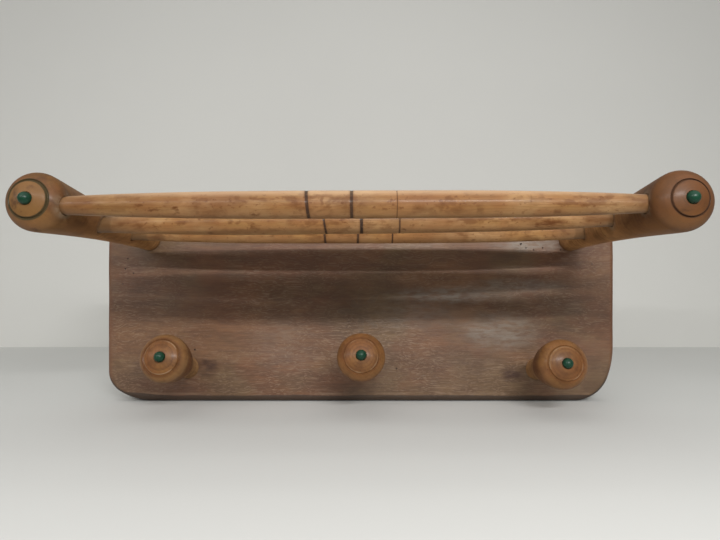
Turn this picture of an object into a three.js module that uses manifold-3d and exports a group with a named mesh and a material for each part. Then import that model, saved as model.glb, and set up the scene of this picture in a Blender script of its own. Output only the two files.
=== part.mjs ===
// Wall coat rack with a shelf of spindles: a board, two turned arms that carry three
// spindles, and three turned pegs, each arm and peg with a glass ball let into its nose.
// Millimetres, +X right, +Z up. The front faces -Y and the back of the board lies on y = 0.

import * as THREE from 'three';
import { mergeVertices } from 'three/addons/utils/BufferGeometryUtils.js';
import Module from 'manifold-3d';

const wasm = await Module();
wasm.setup();

// Clearances
const glueGap = 0.3;
const socketPlay = 0.7;
const flushDepth = 0.3;
const drillOverrun = 1;

// Board
const boardWidth = 556;
const boardHeight = 213;
const boardThickness = 20;
const boardEdgeRound = 5;
const upperCorner = 40;

// Each lower corner turns in two arcs: one leaves the side edge, the other runs out into the bottom edge
const lowerLeftSideArc = 26;
const lowerLeftSideTurn = 58;
const lowerLeftBottomArc = 68;
const lowerRightSideArc = 98;
const lowerRightSideTurn = 20;
const lowerRightBottomArc = 39;

// Arms, both a little left of the board's middle as in the handmade original
const armSideInset = 48;
const armShift = -1;
const armTopInset = 36.5;
const armFootRadius = 12;
const armFootRun = 6;
const armNeckSwell = 0.9;
const armNeckRun = 118;
const armHeadRun = 12;
const armNoseLength = 15;
const armRingDepth = 1.3;
const armTenonRadius = 8;
const leftArmReach = 198;
const leftArmHeadRadius = 21.9;
const leftArmRingRadius = 14;
const leftArmRingWidth = 1.8;
const leftArmTilt = 4.9;
const leftArmSplay = 1.65;
const rightArmReach = 206.5;
const rightArmHeadRadius = 22.3;
const rightArmRingRadius = 13.3;
const rightArmRingWidth = 1;
const rightArmTilt = 4.6;
const rightArmSplay = -0.1;
const arms = [
  {
    side: 'left',
    sign: -1,
    reach: leftArmReach,
    headRadius: leftArmHeadRadius,
    ringRadius: leftArmRingRadius,
    ringWidth: leftArmRingWidth,
    tilt: leftArmTilt,
    splay: leftArmSplay,
  },
  {
    side: 'right',
    sign: 1,
    reach: rightArmReach,
    headRadius: rightArmHeadRadius,
    ringRadius: rightArmRingRadius,
    ringWidth: rightArmRingWidth,
    tilt: rightArmTilt,
    splay: rightArmSplay,
  },
];

// Shelf spindles, by their distance from the board and the drop of each end below the arm's axis
const spindleMiddleRadius = 10.3;
const spindleEndRadius = 6.5;
const spindleEndLength = 12;
const spindleChamfer = 1;
const spindleFullness = 3;
const spindleStop = 4;
const frontSpindleReach = 198;
const frontSpindleLeftDrop = 2.4;
const frontSpindleRightDrop = -0.2;
const middleSpindleReach = 133;
const middleSpindleLeftDrop = 5.6;
const middleSpindleRightDrop = -0.7;
const rearSpindleReach = 64.5;
const rearSpindleLeftDrop = 2.3;
const rearSpindleRightDrop = 0.9;
const spindles = [
  {
    name: 'slat_front',
    reach: frontSpindleReach,
    dropLeft: frontSpindleLeftDrop,
    dropRight: frontSpindleRightDrop,
  },
  {
    name: 'slat_middle',
    reach: middleSpindleReach,
    dropLeft: middleSpindleLeftDrop,
    dropRight: middleSpindleRightDrop,
  },
  {
    name: 'slat_rear',
    reach: rearSpindleReach,
    dropLeft: rearSpindleLeftDrop,
    dropRight: rearSpindleRightDrop,
  },
];

// Pegs
const pegSideInset = 87;
const pegBottomInset = 36.8;
const pegReach = 75;
const pegFootRadius = 12;
const pegFootRun = 6;
const pegWaistRadius = 9.4;
const pegWaistRun = 30;
const pegHeadRun = 28;
const pegNoseLength = 13.5;
const pegRingRadius = 16.8;
const pegRingWidth = 1.4;
const pegRingDepth = 1;
const pegTenonRadius = 7;
const leftPegHeadRadius = 23.3;
const leftPegShift = 1.6;
const leftPegTilt = 16.8;
const centrePegHeadRadius = 23.2;
const centrePegShift = 0.2;
const centrePegTilt = 17.9;
const rightPegHeadRadius = 23.9;
const rightPegShift = 1.6;
const rightPegDrop = 1.8;
const rightPegTilt = 14;
const rightPegSplay = 0.85;
const pegs = [
  {
    side: 'left',
    sign: -1,
    headRadius: leftPegHeadRadius,
    shift: leftPegShift,
    drop: 0,
    tilt: leftPegTilt,
    splay: 0,
  },
  {
    side: 'centre',
    sign: 0,
    headRadius: centrePegHeadRadius,
    shift: centrePegShift,
    drop: 0,
    tilt: centrePegTilt,
    splay: 0,
  },
  {
    side: 'right',
    sign: 1,
    headRadius: rightPegHeadRadius,
    shift: rightPegShift,
    drop: rightPegDrop,
    tilt: rightPegTilt,
    splay: rightPegSplay,
  },
];

// Glass balls, and how far the middle of each stands above its nose
const armBallRadius = 4.6;
const armBallProud = 0;
const pegBallRadius = 5;
const pegBallProud = 0.3;

// Wedges that spread the tenons behind the board
const wedgeLength = 13;
const wedgeThickEnd = 2.4;
const wedgeThinEnd = 0.8;
const wedgeSideMargin = 0.5;

// Keyhole hangers let into the back
const hangerSideInset = 98;
const hangerTopInset = 28.5;
const hangerLength = 48;
const hangerHeight = 24;
const hangerThickness = 1.5;
const hangerScrewSpacing = 34;
const keyholeEntryRadius = 4.6;
const keyholeSlotRadius = 2.4;
const keyholeRise = 9.5;
const pocketWidth = 12;
const pocketHeight = 21;
const pocketDepth = 9;
const screwHeadRadius = 3.1;
const screwHeadHeight = 1.6;
const screwCoreRadius = 1.5;
const screwLength = 12;
const screwTipLength = 3;
const screwSlotWidth = 0.8;
const screwSlotDepth = 0.7;

// Facets
const armFacets = 32;
const armTaperSteps = 10;
const pegFacets = 28;
const pegTaperSteps = 10;
const spindleFacets = 20;
const spindleSteps = 12;
const smallFacets = 16;
const arcSegments = 5;
const plateArcSegments = 7;
const edgeSegments = 3;

const boardWood = new THREE.MeshStandardMaterial({ color: 0x73604c, roughness: 0.5, metalness: 0 });
const armWood = new THREE.MeshStandardMaterial({ color: 0x9a7048, roughness: 0.42, metalness: 0 });
const spindleWood = new THREE.MeshStandardMaterial({ color: 0xb98952, roughness: 0.38, metalness: 0 });
const pegWood = new THREE.MeshStandardMaterial({ color: 0x8e6238, roughness: 0.35, metalness: 0 });
const wedgeWood = new THREE.MeshStandardMaterial({ color: 0xc9a877, roughness: 0.6, metalness: 0 });
const greenGlass = new THREE.MeshStandardMaterial({ color: 0x0f5a41, roughness: 0.08, metalness: 0 });
const steel = new THREE.MeshStandardMaterial({ color: 0xa8a8a4, roughness: 0.35, metalness: 1 });

const point = (radius, height) => new THREE.Vector2(radius, height);

// Solids and their three.js geometry

function toSolid(geometry, matrix) {
  const bare = geometry.clone();
  bare.deleteAttribute('normal');
  bare.deleteAttribute('uv');
  if (matrix) bare.applyMatrix4(matrix);
  const merged = mergeVertices(bare);
  const corners = merged.index.array;
  const triangles = [];
  for (let i = 0; i < corners.length; i += 3) {
    const [a, b, c] = corners.slice(i, i + 3);
    if (a !== b && b !== c && c !== a) triangles.push(a, b, c);
  }
  return new wasm.Manifold(new wasm.Mesh({
    numProp: 3,
    vertProperties: new Float32Array(merged.attributes.position.array),
    triVerts: new Uint32Array(triangles),
  }));
}

function toGeometry(solid) {
  const mesh = solid.getMesh();
  const geometry = new THREE.BufferGeometry();
  geometry.setAttribute('position', new THREE.BufferAttribute(mesh.vertProperties, 3));
  geometry.setIndex(new THREE.BufferAttribute(mesh.triVerts, 1));
  geometry.computeVertexNormals();
  return geometry;
}

function named(name, solid, material) {
  const mesh = new THREE.Mesh(toGeometry(solid), material);
  mesh.name = name;
  return mesh;
}

function turned(outline, facets) {
  return toSolid(new THREE.LatheGeometry(outline, facets));
}

function rod(radius, from, to, facets) {
  return turned([point(0, from), point(radius, from), point(radius, to), point(0, to)], facets);
}

function block(width, depth, height, x, y, z, matrix) {
  const geometry = new THREE.BoxGeometry(width, depth, height);
  geometry.translate(x, y, z);
  return toSolid(geometry, matrix);
}

// Everything behind a plane y = level, for cutting feet and tenons to the board's faces
function behind(level, matrix) {
  const reach = 2 * boardWidth;
  return block(reach, reach, reach, 0, level + reach / 2, 0, matrix);
}

// A seat on the board's front: its local +Y runs out along the turned piece, +Z stays upwards
function seatOnBoard(x, z, tiltDegrees, splayDegrees) {
  const tilt = THREE.MathUtils.degToRad(tiltDegrees);
  const splay = THREE.MathUtils.degToRad(splayDegrees);
  const out = new THREE.Vector3(Math.sin(splay) * Math.cos(tilt), -Math.cos(splay) * Math.cos(tilt), Math.sin(tilt));
  const across = new THREE.Vector3().crossVectors(out, new THREE.Vector3(0, 0, 1)).normalize();
  const up = new THREE.Vector3().crossVectors(across, out);
  const seat = new THREE.Group();
  seat.quaternion.setFromRotationMatrix(new THREE.Matrix4().makeBasis(across, out, up));
  seat.position.set(x, -boardThickness, z);
  seat.updateMatrixWorld(true);
  return seat;
}

// Nose of an arm or peg: a domed end with a ring groove and a round recess for its glass ball
function noseOutline({ reach, headRadius, noseLength, ringRadius, ringWidth, ringDepth, ballRadius, ballProud }) {
  const domeAt = (radius) => reach + noseLength * Math.sqrt(1 - (radius / headRadius) ** 2);
  const onDome = (radius) => point(radius, domeAt(radius));
  const outer = ringRadius + ringWidth / 2;
  const inner = ringRadius - ringWidth / 2;
  const recess = ballRadius + glueGap;
  const ballHeight = reach + noseLength + ballProud;
  const mouthHeight = domeAt(Math.sqrt(recess ** 2 - ballProud ** 2));
  const mouthAngle = Math.acos((ballHeight - mouthHeight) / recess);
  const mouthRadius = recess * Math.sin(mouthAngle);
  const shoulderSteps = 4;
  const faceSteps = 3;
  const recessSteps = 3;
  const outline = [];
  const shoulderAngle = Math.acos(outer / headRadius);
  for (let i = 1; i <= shoulderSteps; i += 1) {
    const angle = (shoulderAngle * i) / shoulderSteps;
    outline.push(point(headRadius * Math.cos(angle), reach + noseLength * Math.sin(angle)));
  }
  outline.push(point(ringRadius, domeAt(ringRadius) - ringDepth));
  for (let i = 0; i < faceSteps; i += 1) {
    outline.push(onDome(inner + ((mouthRadius - inner) * i) / faceSteps));
  }
  for (let i = 0; i <= recessSteps; i += 1) {
    const angle = mouthAngle * (1 - i / recessSteps);
    outline.push(point(recess * Math.sin(angle), ballHeight - recess * Math.cos(angle)));
  }
  return { outline, ballHeight };
}

// A turned piece on its seat, its foot cut to the board's face and its tenon wedged from behind
function wedgedTurning(seat, taper, nose, { footRadius, footRun, tenonRadius, facets, taperSteps }) {
  const toSeat = seat.matrixWorld.clone().invert();
  const outline = [point(0, -footRun), point(footRadius, -footRun)];
  outline.push(...taper.getPoints(taperSteps), ...nose.outline);
  const tenonRun = boardThickness + footRun;
  const flush = behind(-flushDepth, toSeat);
  const shaft = turned(outline, facets).subtract(behind(-boardThickness - glueGap, toSeat));
  const tenon = rod(tenonRadius, -tenonRun, footRadius, smallFacets).subtract(flush);
  const kerf = wedgeSolid(tenonRun, glueGap, 2 * (tenonRadius + drillOverrun));
  const wedge = wedgeSolid(tenonRun, 0, 2 * (tenonRadius - wedgeSideMargin)).subtract(flush);
  return { solid: shaft.add(tenon).subtract(kerf), wedge };
}

// The wedge tapers inwards from the back of the board; its kerf is the same shape with play
function wedgeSolid(tenonRun, play, width) {
  const thick = wedgeThickEnd / 2 + play;
  const thin = wedgeThinEnd / 2 + play;
  const tip = -boardThickness + wedgeLength + play;
  const slope = (thick - thin) / (tip + boardThickness);
  const overrun = thick + slope * (tenonRun - boardThickness);
  const side = new THREE.Shape([
    point(-overrun, -tenonRun - play),
    point(overrun, -tenonRun - play),
    point(thin, tip),
    point(-thin, tip),
  ]);
  const geometry = new THREE.ExtrudeGeometry(side, { depth: width, bevelEnabled: false });
  geometry.translate(0, 0, -width / 2);
  return toSolid(geometry);
}

function tenonHole(seat, tenonRadius) {
  const hole = new THREE.LatheGeometry([
    point(0, -2 * boardThickness),
    point(tenonRadius + glueGap, -2 * boardThickness),
    point(tenonRadius + glueGap, boardThickness),
    point(0, boardThickness),
  ], smallFacets);
  return toSolid(hole, seat.matrixWorld);
}

function glassBall(name, radius, height) {
  const ball = new THREE.Mesh(new THREE.SphereGeometry(radius, smallFacets, smallFacets / 2), greenGlass);
  ball.name = name;
  ball.position.y = height;
  return ball;
}

const rack = new THREE.Group();
const boardCuts = [];

// Arms

for (const arm of arms) {
  const x = arm.sign * (boardWidth / 2 - armSideInset) + armShift;
  arm.seat = seatOnBoard(x, boardHeight / 2 - armTopInset, arm.tilt, arm.sign * arm.splay);
  arm.taper = new THREE.CubicBezierCurve(
    point(armFootRadius, 0),
    point(armFootRadius + armNeckSwell, armNeckRun),
    point(arm.headRadius, arm.reach - armHeadRun),
    point(arm.headRadius, arm.reach),
  );
  arm.nose = noseOutline({
    ...arm,
    noseLength: armNoseLength,
    ringDepth: armRingDepth,
    ballRadius: armBallRadius,
    ballProud: armBallProud,
  });
  boardCuts.push(tenonHole(arm.seat, armTenonRadius));
}

// Spindles, each from a blind socket in the left arm to one in the right

function spindleRadius(along, freeHalf) {
  const share = Math.min(Math.abs(along) / freeHalf, 1);
  return spindleEndRadius + (spindleMiddleRadius - spindleEndRadius) * (1 - share ** spindleFullness);
}

function spindleOutline(halfLength) {
  const freeHalf = halfLength - spindleEndLength;
  const endFace = spindleEndRadius - spindleChamfer;
  const outline = [point(0, -halfLength), point(endFace, -halfLength)];
  outline.push(point(spindleEndRadius, -halfLength + spindleChamfer));
  for (let i = 0; i <= spindleSteps; i += 1) {
    const along = freeHalf * Math.sin((i / spindleSteps - 0.5) * Math.PI);
    outline.push(point(spindleRadius(along, freeHalf), along));
  }
  outline.push(point(spindleEndRadius, halfLength - spindleChamfer));
  outline.push(point(endFace, halfLength), point(0, halfLength));
  return outline;
}

for (const spindle of spindles) {
  const ends = arms.map((arm) => {
    const end = arm.seat.localToWorld(new THREE.Vector3(0, spindle.reach, 0));
    end.z -= arm.sign < 0 ? spindle.dropLeft : spindle.dropRight;
    return end;
  });
  const along = new THREE.Vector3().subVectors(ends[1], ends[0]).normalize();
  const halfLength = ends[0].distanceTo(ends[1]) / 2 - spindleStop;
  const mesh = named(spindle.name, turned(spindleOutline(halfLength), spindleFacets), spindleWood);
  mesh.position.addVectors(ends[0], ends[1]).multiplyScalar(0.5);
  mesh.quaternion.setFromUnitVectors(new THREE.Vector3(0, 1, 0), along);
  mesh.updateMatrixWorld(true);
  rack.add(mesh);
  const socket = new THREE.LatheGeometry([
    point(0, -halfLength - glueGap),
    point(spindleEndRadius + socketPlay, -halfLength - glueGap),
    point(spindleEndRadius + socketPlay, halfLength + glueGap),
    point(0, halfLength + glueGap),
  ], spindleFacets);
  spindle.socket = socket.applyMatrix4(mesh.matrixWorld);
}

for (const arm of arms) {
  const form = {
    footRadius: armFootRadius,
    footRun: armFootRun,
    tenonRadius: armTenonRadius,
    facets: armFacets,
    taperSteps: armTaperSteps,
  };
  const { solid, wedge } = wedgedTurning(arm.seat, arm.taper, arm.nose, form);
  const toSeat = arm.seat.matrixWorld.clone().invert();
  const socketed = spindles.reduce((body, spindle) => body.subtract(toSolid(spindle.socket, toSeat)), solid);
  arm.seat.add(named(`arm_${arm.side}`, socketed, armWood));
  arm.seat.add(named(`wedge_arm_${arm.side}`, wedge, wedgeWood));
  arm.seat.add(glassBall(`ball_arm_${arm.side}`, armBallRadius, arm.nose.ballHeight));
  rack.add(arm.seat);
}

// Pegs

for (const peg of pegs) {
  const x = peg.sign * (boardWidth / 2 - pegSideInset) + peg.shift;
  const z = -boardHeight / 2 + pegBottomInset - peg.drop;
  const seat = seatOnBoard(x, z, peg.tilt, peg.sign * peg.splay);
  const taper = new THREE.CubicBezierCurve(
    point(pegFootRadius, 0),
    point(pegWaistRadius, pegWaistRun),
    point(peg.headRadius, pegReach - pegHeadRun),
    point(peg.headRadius, pegReach),
  );
  const nose = noseOutline({
    reach: pegReach,
    headRadius: peg.headRadius,
    noseLength: pegNoseLength,
    ringRadius: pegRingRadius,
    ringWidth: pegRingWidth,
    ringDepth: pegRingDepth,
    ballRadius: pegBallRadius,
    ballProud: pegBallProud,
  });
  const form = {
    footRadius: pegFootRadius,
    footRun: pegFootRun,
    tenonRadius: pegTenonRadius,
    facets: pegFacets,
    taperSteps: pegTaperSteps,
  };
  const { solid, wedge } = wedgedTurning(seat, taper, nose, form);
  seat.add(named(`peg_${peg.side}`, solid, pegWood));
  seat.add(named(`wedge_peg_${peg.side}`, wedge, wedgeWood));
  seat.add(glassBall(`ball_peg_${peg.side}`, pegBallRadius, nose.ballHeight));
  rack.add(seat);
  boardCuts.push(tenonHole(seat, pegTenonRadius));
}

// Keyhole hangers with their screws, each let into a recess over a routed pocket

function roundEndedShape(length, height) {
  const radius = height / 2;
  const straight = length / 2 - radius;
  const shape = new THREE.Shape();
  shape.absarc(straight, 0, radius, -Math.PI / 2, Math.PI / 2);
  shape.absarc(-straight, 0, radius, Math.PI / 2, (3 * Math.PI) / 2);
  shape.closePath();
  return shape;
}

function keyholePath() {
  const entryHeight = (keyholeEntryRadius - keyholeSlotRadius - keyholeRise) / 2;
  const gap = Math.asin(keyholeSlotRadius / keyholeEntryRadius);
  const path = new THREE.Path();
  path.absarc(0, entryHeight, keyholeEntryRadius, Math.PI / 2 - gap, Math.PI / 2 + gap, true);
  path.absarc(0, entryHeight + keyholeRise, keyholeSlotRadius, Math.PI, 0, true);
  path.closePath();
  return path;
}

// Stands a shape that is drawn in x and z up in y, from its back level forwards
function upright(shape, thickness, backLevel) {
  const form = { depth: thickness, bevelEnabled: false, curveSegments: plateArcSegments };
  const geometry = new THREE.ExtrudeGeometry(shape, form);
  geometry.rotateX(Math.PI / 2);
  geometry.translate(0, backLevel, 0);
  return geometry;
}

function screwSolid() {
  const body = turned([
    point(0, -screwLength),
    point(screwCoreRadius, -screwLength + screwTipLength),
    point(screwCoreRadius, -screwHeadHeight),
    point(screwHeadRadius, 0),
    point(0, 0),
  ], smallFacets);
  return body.subtract(block(3 * screwHeadRadius, 2 * screwSlotDepth, screwSlotWidth, 0, 0, 0));
}

function screwClearance() {
  const radius = screwCoreRadius + glueGap;
  const depth = screwLength + drillOverrun;
  return turned([
    point(0, -depth),
    point(radius, -depth),
    point(radius, -screwHeadHeight),
    point(screwHeadRadius + glueGap, 0),
    point(screwHeadRadius + glueGap, boardThickness),
    point(0, boardThickness),
  ], smallFacets);
}

const plateBack = -flushDepth;
const recessDepth = flushDepth + hangerThickness;

for (const [side, sign] of [['left', -1], ['right', 1]]) {
  const hanger = new THREE.Group();
  hanger.position.set(sign * (boardWidth / 2 - hangerSideInset), 0, boardHeight / 2 - hangerTopInset);
  hanger.updateMatrixWorld(true);
  const outline = roundEndedShape(hangerLength, hangerHeight);
  outline.holes.push(keyholePath());
  let plate = toSolid(upright(outline, hangerThickness, plateBack));
  const recess = roundEndedShape(hangerLength + 2 * glueGap, hangerHeight + 2 * glueGap);
  const overrun = boardThickness;
  boardCuts.push(toSolid(upright(recess, recessDepth + overrun, overrun), hanger.matrixWorld));
  const pocket = roundEndedShape(pocketHeight, pocketWidth);
  const pocketCut = upright(pocket, pocketDepth + overrun, overrun).rotateY(Math.PI / 2);
  boardCuts.push(toSolid(pocketCut, hanger.matrixWorld));
  for (const [end, offset] of [['outer', sign], ['inner', -sign]]) {
    const place = new THREE.Matrix4().makeTranslation((offset * hangerScrewSpacing) / 2, plateBack, 0);
    const clearance = screwClearance();
    plate = plate.subtract(clearance.transform(place.elements));
    boardCuts.push(clearance.transform(hanger.matrixWorld.clone().multiply(place).elements));
    const screw = named(`hanger_screw_${side}_${end}`, screwSolid(), steel);
    screw.position.setFromMatrixPosition(place);
    hanger.add(screw);
  }
  hanger.add(named(`hanger_${side}`, plate, steel));
  rack.add(hanger);
}

// Board, with softened edges, corners of different roundness and all its holes

// The two arcs of a lower corner: how far each centre lies in from the side edge and up from the bottom
function lowerCorner(sideArc, sideTurnDegrees, bottomArc) {
  const turn = THREE.MathUtils.degToRad(sideTurnDegrees);
  const growth = bottomArc - sideArc;
  return {
    turn,
    side: { radius: sideArc, inset: sideArc, rise: bottomArc - growth * Math.sin(turn) },
    bottom: { radius: bottomArc, inset: sideArc + growth * Math.cos(turn), rise: bottomArc },
  };
}

function boardBlank() {
  const right = boardWidth / 2;
  const top = boardHeight / 2;
  const quarter = Math.PI / 2;
  const lowerRight = lowerCorner(lowerRightSideArc, lowerRightSideTurn, lowerRightBottomArc);
  const lowerLeft = lowerCorner(lowerLeftSideArc, lowerLeftSideTurn, lowerLeftBottomArc);
  const shape = new THREE.Shape();
  const rightArc = ({ radius, inset, rise }, from, to) => {
    shape.absarc(right - inset, -top + rise, radius, from, to);
  };
  const leftArc = ({ radius, inset, rise }, from, to) => {
    shape.absarc(-right + inset, -top + rise, radius, from, to);
  };
  rightArc(lowerRight.bottom, -quarter, -lowerRight.turn);
  rightArc(lowerRight.side, -lowerRight.turn, 0);
  shape.absarc(right - upperCorner, top - upperCorner, upperCorner, 0, quarter);
  shape.absarc(-right + upperCorner, top - upperCorner, upperCorner, quarter, 2 * quarter);
  leftArc(lowerLeft.side, 2 * quarter, 2 * quarter + lowerLeft.turn);
  leftArc(lowerLeft.bottom, 2 * quarter + lowerLeft.turn, 3 * quarter);
  shape.closePath();
  const geometry = new THREE.ExtrudeGeometry(shape, {
    depth: boardThickness - 2 * boardEdgeRound,
    bevelThickness: boardEdgeRound,
    bevelSize: boardEdgeRound,
    bevelOffset: -boardEdgeRound,
    bevelSegments: edgeSegments,
    curveSegments: arcSegments,
  });
  geometry.translate(0, 0, boardEdgeRound);
  geometry.rotateX(Math.PI / 2);
  return toSolid(geometry);
}

rack.add(named('board', boardCuts.reduce((wood, cut) => wood.subtract(cut), boardBlank()), boardWood));

export default rack;
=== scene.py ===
"""Wall coat rack with a shelf of spindles: the finish of every piece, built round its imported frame.

A worn board carries two turned arms and three turned pegs. Three spindles between the arms make the
shelf, and a green glass ball is let into the nose of each arm and peg. Metres, +Z up, front to -Y.
"""

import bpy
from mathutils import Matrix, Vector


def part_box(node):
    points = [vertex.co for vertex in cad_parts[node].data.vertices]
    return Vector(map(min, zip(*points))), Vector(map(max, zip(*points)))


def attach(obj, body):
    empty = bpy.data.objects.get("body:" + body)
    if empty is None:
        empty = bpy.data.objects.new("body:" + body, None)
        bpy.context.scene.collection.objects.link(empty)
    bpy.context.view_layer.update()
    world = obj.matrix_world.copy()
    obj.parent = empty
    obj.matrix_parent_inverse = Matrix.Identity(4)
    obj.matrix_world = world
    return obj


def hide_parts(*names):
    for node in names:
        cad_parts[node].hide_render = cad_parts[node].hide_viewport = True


bl_info = {
    "name": "Coat rack with shelf",
    "version": (1, 0, 0),
    "blender": (4, 5, 0),
    "location": "3D View > Sidebar > Coat Rack",
    "description": "Builds the board, turned pieces, glass balls and hangers of a wall coat rack",
    "category": "Add Mesh",
}

import math

import bmesh
import bpy
import numpy as np
from bpy.props import FloatProperty, FloatVectorProperty, PointerProperty
from mathutils import Matrix, Vector
from mathutils.noise import noise

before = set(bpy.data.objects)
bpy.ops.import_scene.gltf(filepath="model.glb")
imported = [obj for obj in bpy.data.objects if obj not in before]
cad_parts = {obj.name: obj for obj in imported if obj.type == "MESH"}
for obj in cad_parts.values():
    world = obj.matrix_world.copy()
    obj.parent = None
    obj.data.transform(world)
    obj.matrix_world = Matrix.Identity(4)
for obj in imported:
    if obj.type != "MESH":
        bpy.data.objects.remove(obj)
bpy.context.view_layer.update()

UP = Vector((0, 0, 1))
RIGHT = Vector((1, 0, 0))
BACK = Vector((0, 1, 0))
BOARD_LOW, BOARD_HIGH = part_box("board")
MM = 0.001
# Glue round a tenon, and how far tenons, hangers and screws lie below the board's back
GLUE_GAP = 0.0003
FLUSH_DEPTH = 0.0003


def length(name, description, default):
    """A property that holds a length in metres."""
    return FloatProperty(name=name, description=description, default=default, min=0, precision=4,
                         unit="LENGTH")


def turn(name, description, degrees):
    """A property that holds an angle."""
    return FloatProperty(name=name, description=description, default=math.radians(degrees),
                         subtype="ANGLE")


def colour(name, description, *parts):
    """A property that holds a colour, given as a screen shows it: red, green and blue, 0 to 255."""
    default = [((part / 255 + 0.055) / 1.055) ** 2.4 for part in parts]
    return FloatVectorProperty(name=name, description=description, default=default, min=0, max=1,
                               subtype="COLOR")


# Settings

class BoardSettings(bpy.types.PropertyGroup):
    """Sizes and colours of the back board."""

    edge_round: length("Edge round", "Rounding of the front and back edges", 0.005)
    upper_corner: length("Upper corners", "Radius of both upper corners", 0.04)
    left_side_arc: length("Left side arc", "First radius of the lower left corner", 0.026)
    left_turn: turn("Left turn", "How far the lower left corner turns in its first arc", 58)
    left_bottom_arc: length("Left bottom arc", "Second radius of the lower left corner", 0.068)
    right_side_arc: length("Right side arc", "First radius of the lower right corner", 0.098)
    right_turn: turn("Right turn", "How far the lower right corner turns in its first arc", 20)
    right_bottom_arc: length("Right bottom arc", "Second radius of the lower right corner", 0.039)
    waviness: length("Waviness", "How far the hand-cut outline strays inwards", 0.0006)
    wood: colour("Wood", "Aged brown of the board", 120, 84, 52)
    # Dark grain, also painted as shade beside and below the pegs
    dark_grain_and_shade: colour("Dark grain", "Dark streaks along the board", 64, 37, 19)
    red_stain: colour("Red stain", "Warmer wood towards the edges", 108, 64, 38)
    grey_wear: colour("Grey wear", "Rubbed, greyish wood", 108, 90, 62)
    fleck: colour("Fleck", "Short pale flecks in the grain", 146, 120, 96)
    # Painted sheen: the lamp's greyish reflection, painted into the board's colour
    sheen: colour("Sheen", "Cool grey where hands and coats have rubbed", 126, 116, 104)
    # Painted shade on the bottom edge, where it turns under
    under_edge_shade: colour("Under edge", "Dark bottom edge, turned under", 44, 27, 10)
    star: colour("Star", "Petals of the faded star", 84, 74, 62)
    # Painted shade in and round the worm holes
    worm_hole: colour("Worm hole", "Dark wood in the worm holes", 30, 20, 14)


class ArmSettings(bpy.types.PropertyGroup):
    """Sizes and colours of the two arms that carry the shelf."""

    foot_radius: length("Foot radius", "Radius where the arm meets the board", 0.012)
    foot_run: length("Foot run", "How far the foot's turning goes on towards the board", 0.006)
    neck_swell: length("Neck swell", "How much the arm has swollen at the neck's control point", 0.0009)
    neck_run: length("Neck run", "Distance of the neck's control point from the board", 0.118)
    head_run: length("Head run", "Distance of the head's control point behind the nose", 0.012)
    left_head: length("Left head radius", "Largest radius of the left arm", 0.0219)
    right_head: length("Right head radius", "Largest radius of the right arm", 0.0223)
    nose_length: length("Nose length", "Length of the domed nose", 0.015)
    left_ring: length("Left ring radius", "Radius of the left nose's ring groove", 0.014)
    right_ring: length("Right ring radius", "Radius of the right nose's ring groove", 0.0133)
    left_ring_width: length("Left ring width", "Width of the left ring groove", 0.0018)
    right_ring_width: length("Right ring width", "Width of the right ring groove", 0.001)
    ring_depth: length("Ring depth", "Depth of the ring grooves", 0.0013)
    tenon_radius: length("Tenon radius", "Radius of the tenon through the board", 0.008)
    left_wood: colour("Left wood", "Golden tan of the left arm", 118, 82, 40)
    right_wood: colour("Right wood", "Red-brown of the right arm", 96, 58, 24)
    left_disc: colour("Left disc", "Worn wood round the left ball", 122, 88, 46)
    right_nose: colour("Right nose", "Even red-brown of the right nose", 92, 57, 26)
    # Painted light: lighter on the shafts' undersides and along them towards the foot
    shaft: colour("Shaft", "Lighter wood of the shafts", 164, 117, 70)
    # Painted light: paler towards the foot
    foot: colour("Foot", "Palest wood, under the blotches at the foot", 190, 138, 84)
    # Darker, browner wood, also painted as shade where an arm meets the board
    shade: colour("Shade", "Darker, browner wood", 66, 40, 18)
    blush: colour("Blush", "Reddish blotches in the varnish", 100, 58, 28)
    left_dirt: colour("Left dirt", "Olive dirt in the left ring groove", 58, 50, 28)
    right_dirt: colour("Right dirt", "Dirt in the right ring groove", 60, 38, 24)
    glue: colour("Glue", "Dried glue at the sockets", 144, 126, 102)


class SpindleSettings(bpy.types.PropertyGroup):
    """Sizes and colours of the three shelf spindles."""

    middle_radius: length("Middle radius", "Radius in the middle of a spindle", 0.0103)
    end_radius: length("End radius", "Radius of the ends in their sockets", 0.0065)
    end_length: length("End length", "Length of the straight ends", 0.012)
    fullness: FloatProperty(name="Fullness", description="How long the swell stays full", default=3,
                            min=1)
    socket_play: length("Socket play", "Gap round an end in its socket", 0.0007)
    groove_depth: length("Groove depth", "Depth of the burned rings", 0.00025)
    wood: colour("Wood", "Honey-coloured wood", 168, 127, 74)
    amber: colour("Amber", "Warmer varnish in the blotches", 126, 80, 42)
    streak: colour("Streak", "Reddish-brown streaks", 88, 48, 14)
    burn: colour("Burn", "Charred wood in the rings", 40, 28, 24)
    haze: colour("Haze", "Broad greyish-brown patches", 104, 70, 50)
    pale: colour("Pale", "Pale wood between the blotches", 184, 150, 108)
    # Painted sheen along the top, the ceiling light's reflection
    top: colour("Top", "Rubbed wood along the top", 204, 172, 138)
    # Painted light on the undersides, standing in for the floor's bounce
    below: colour("Below", "Cleaner wood on the underside", 186, 140, 92)
    end: colour("End", "Browner wood near the ends", 108, 80, 54)
    glue: colour("Glue", "Glue and dirt at the sockets", 100, 72, 44)


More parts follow.
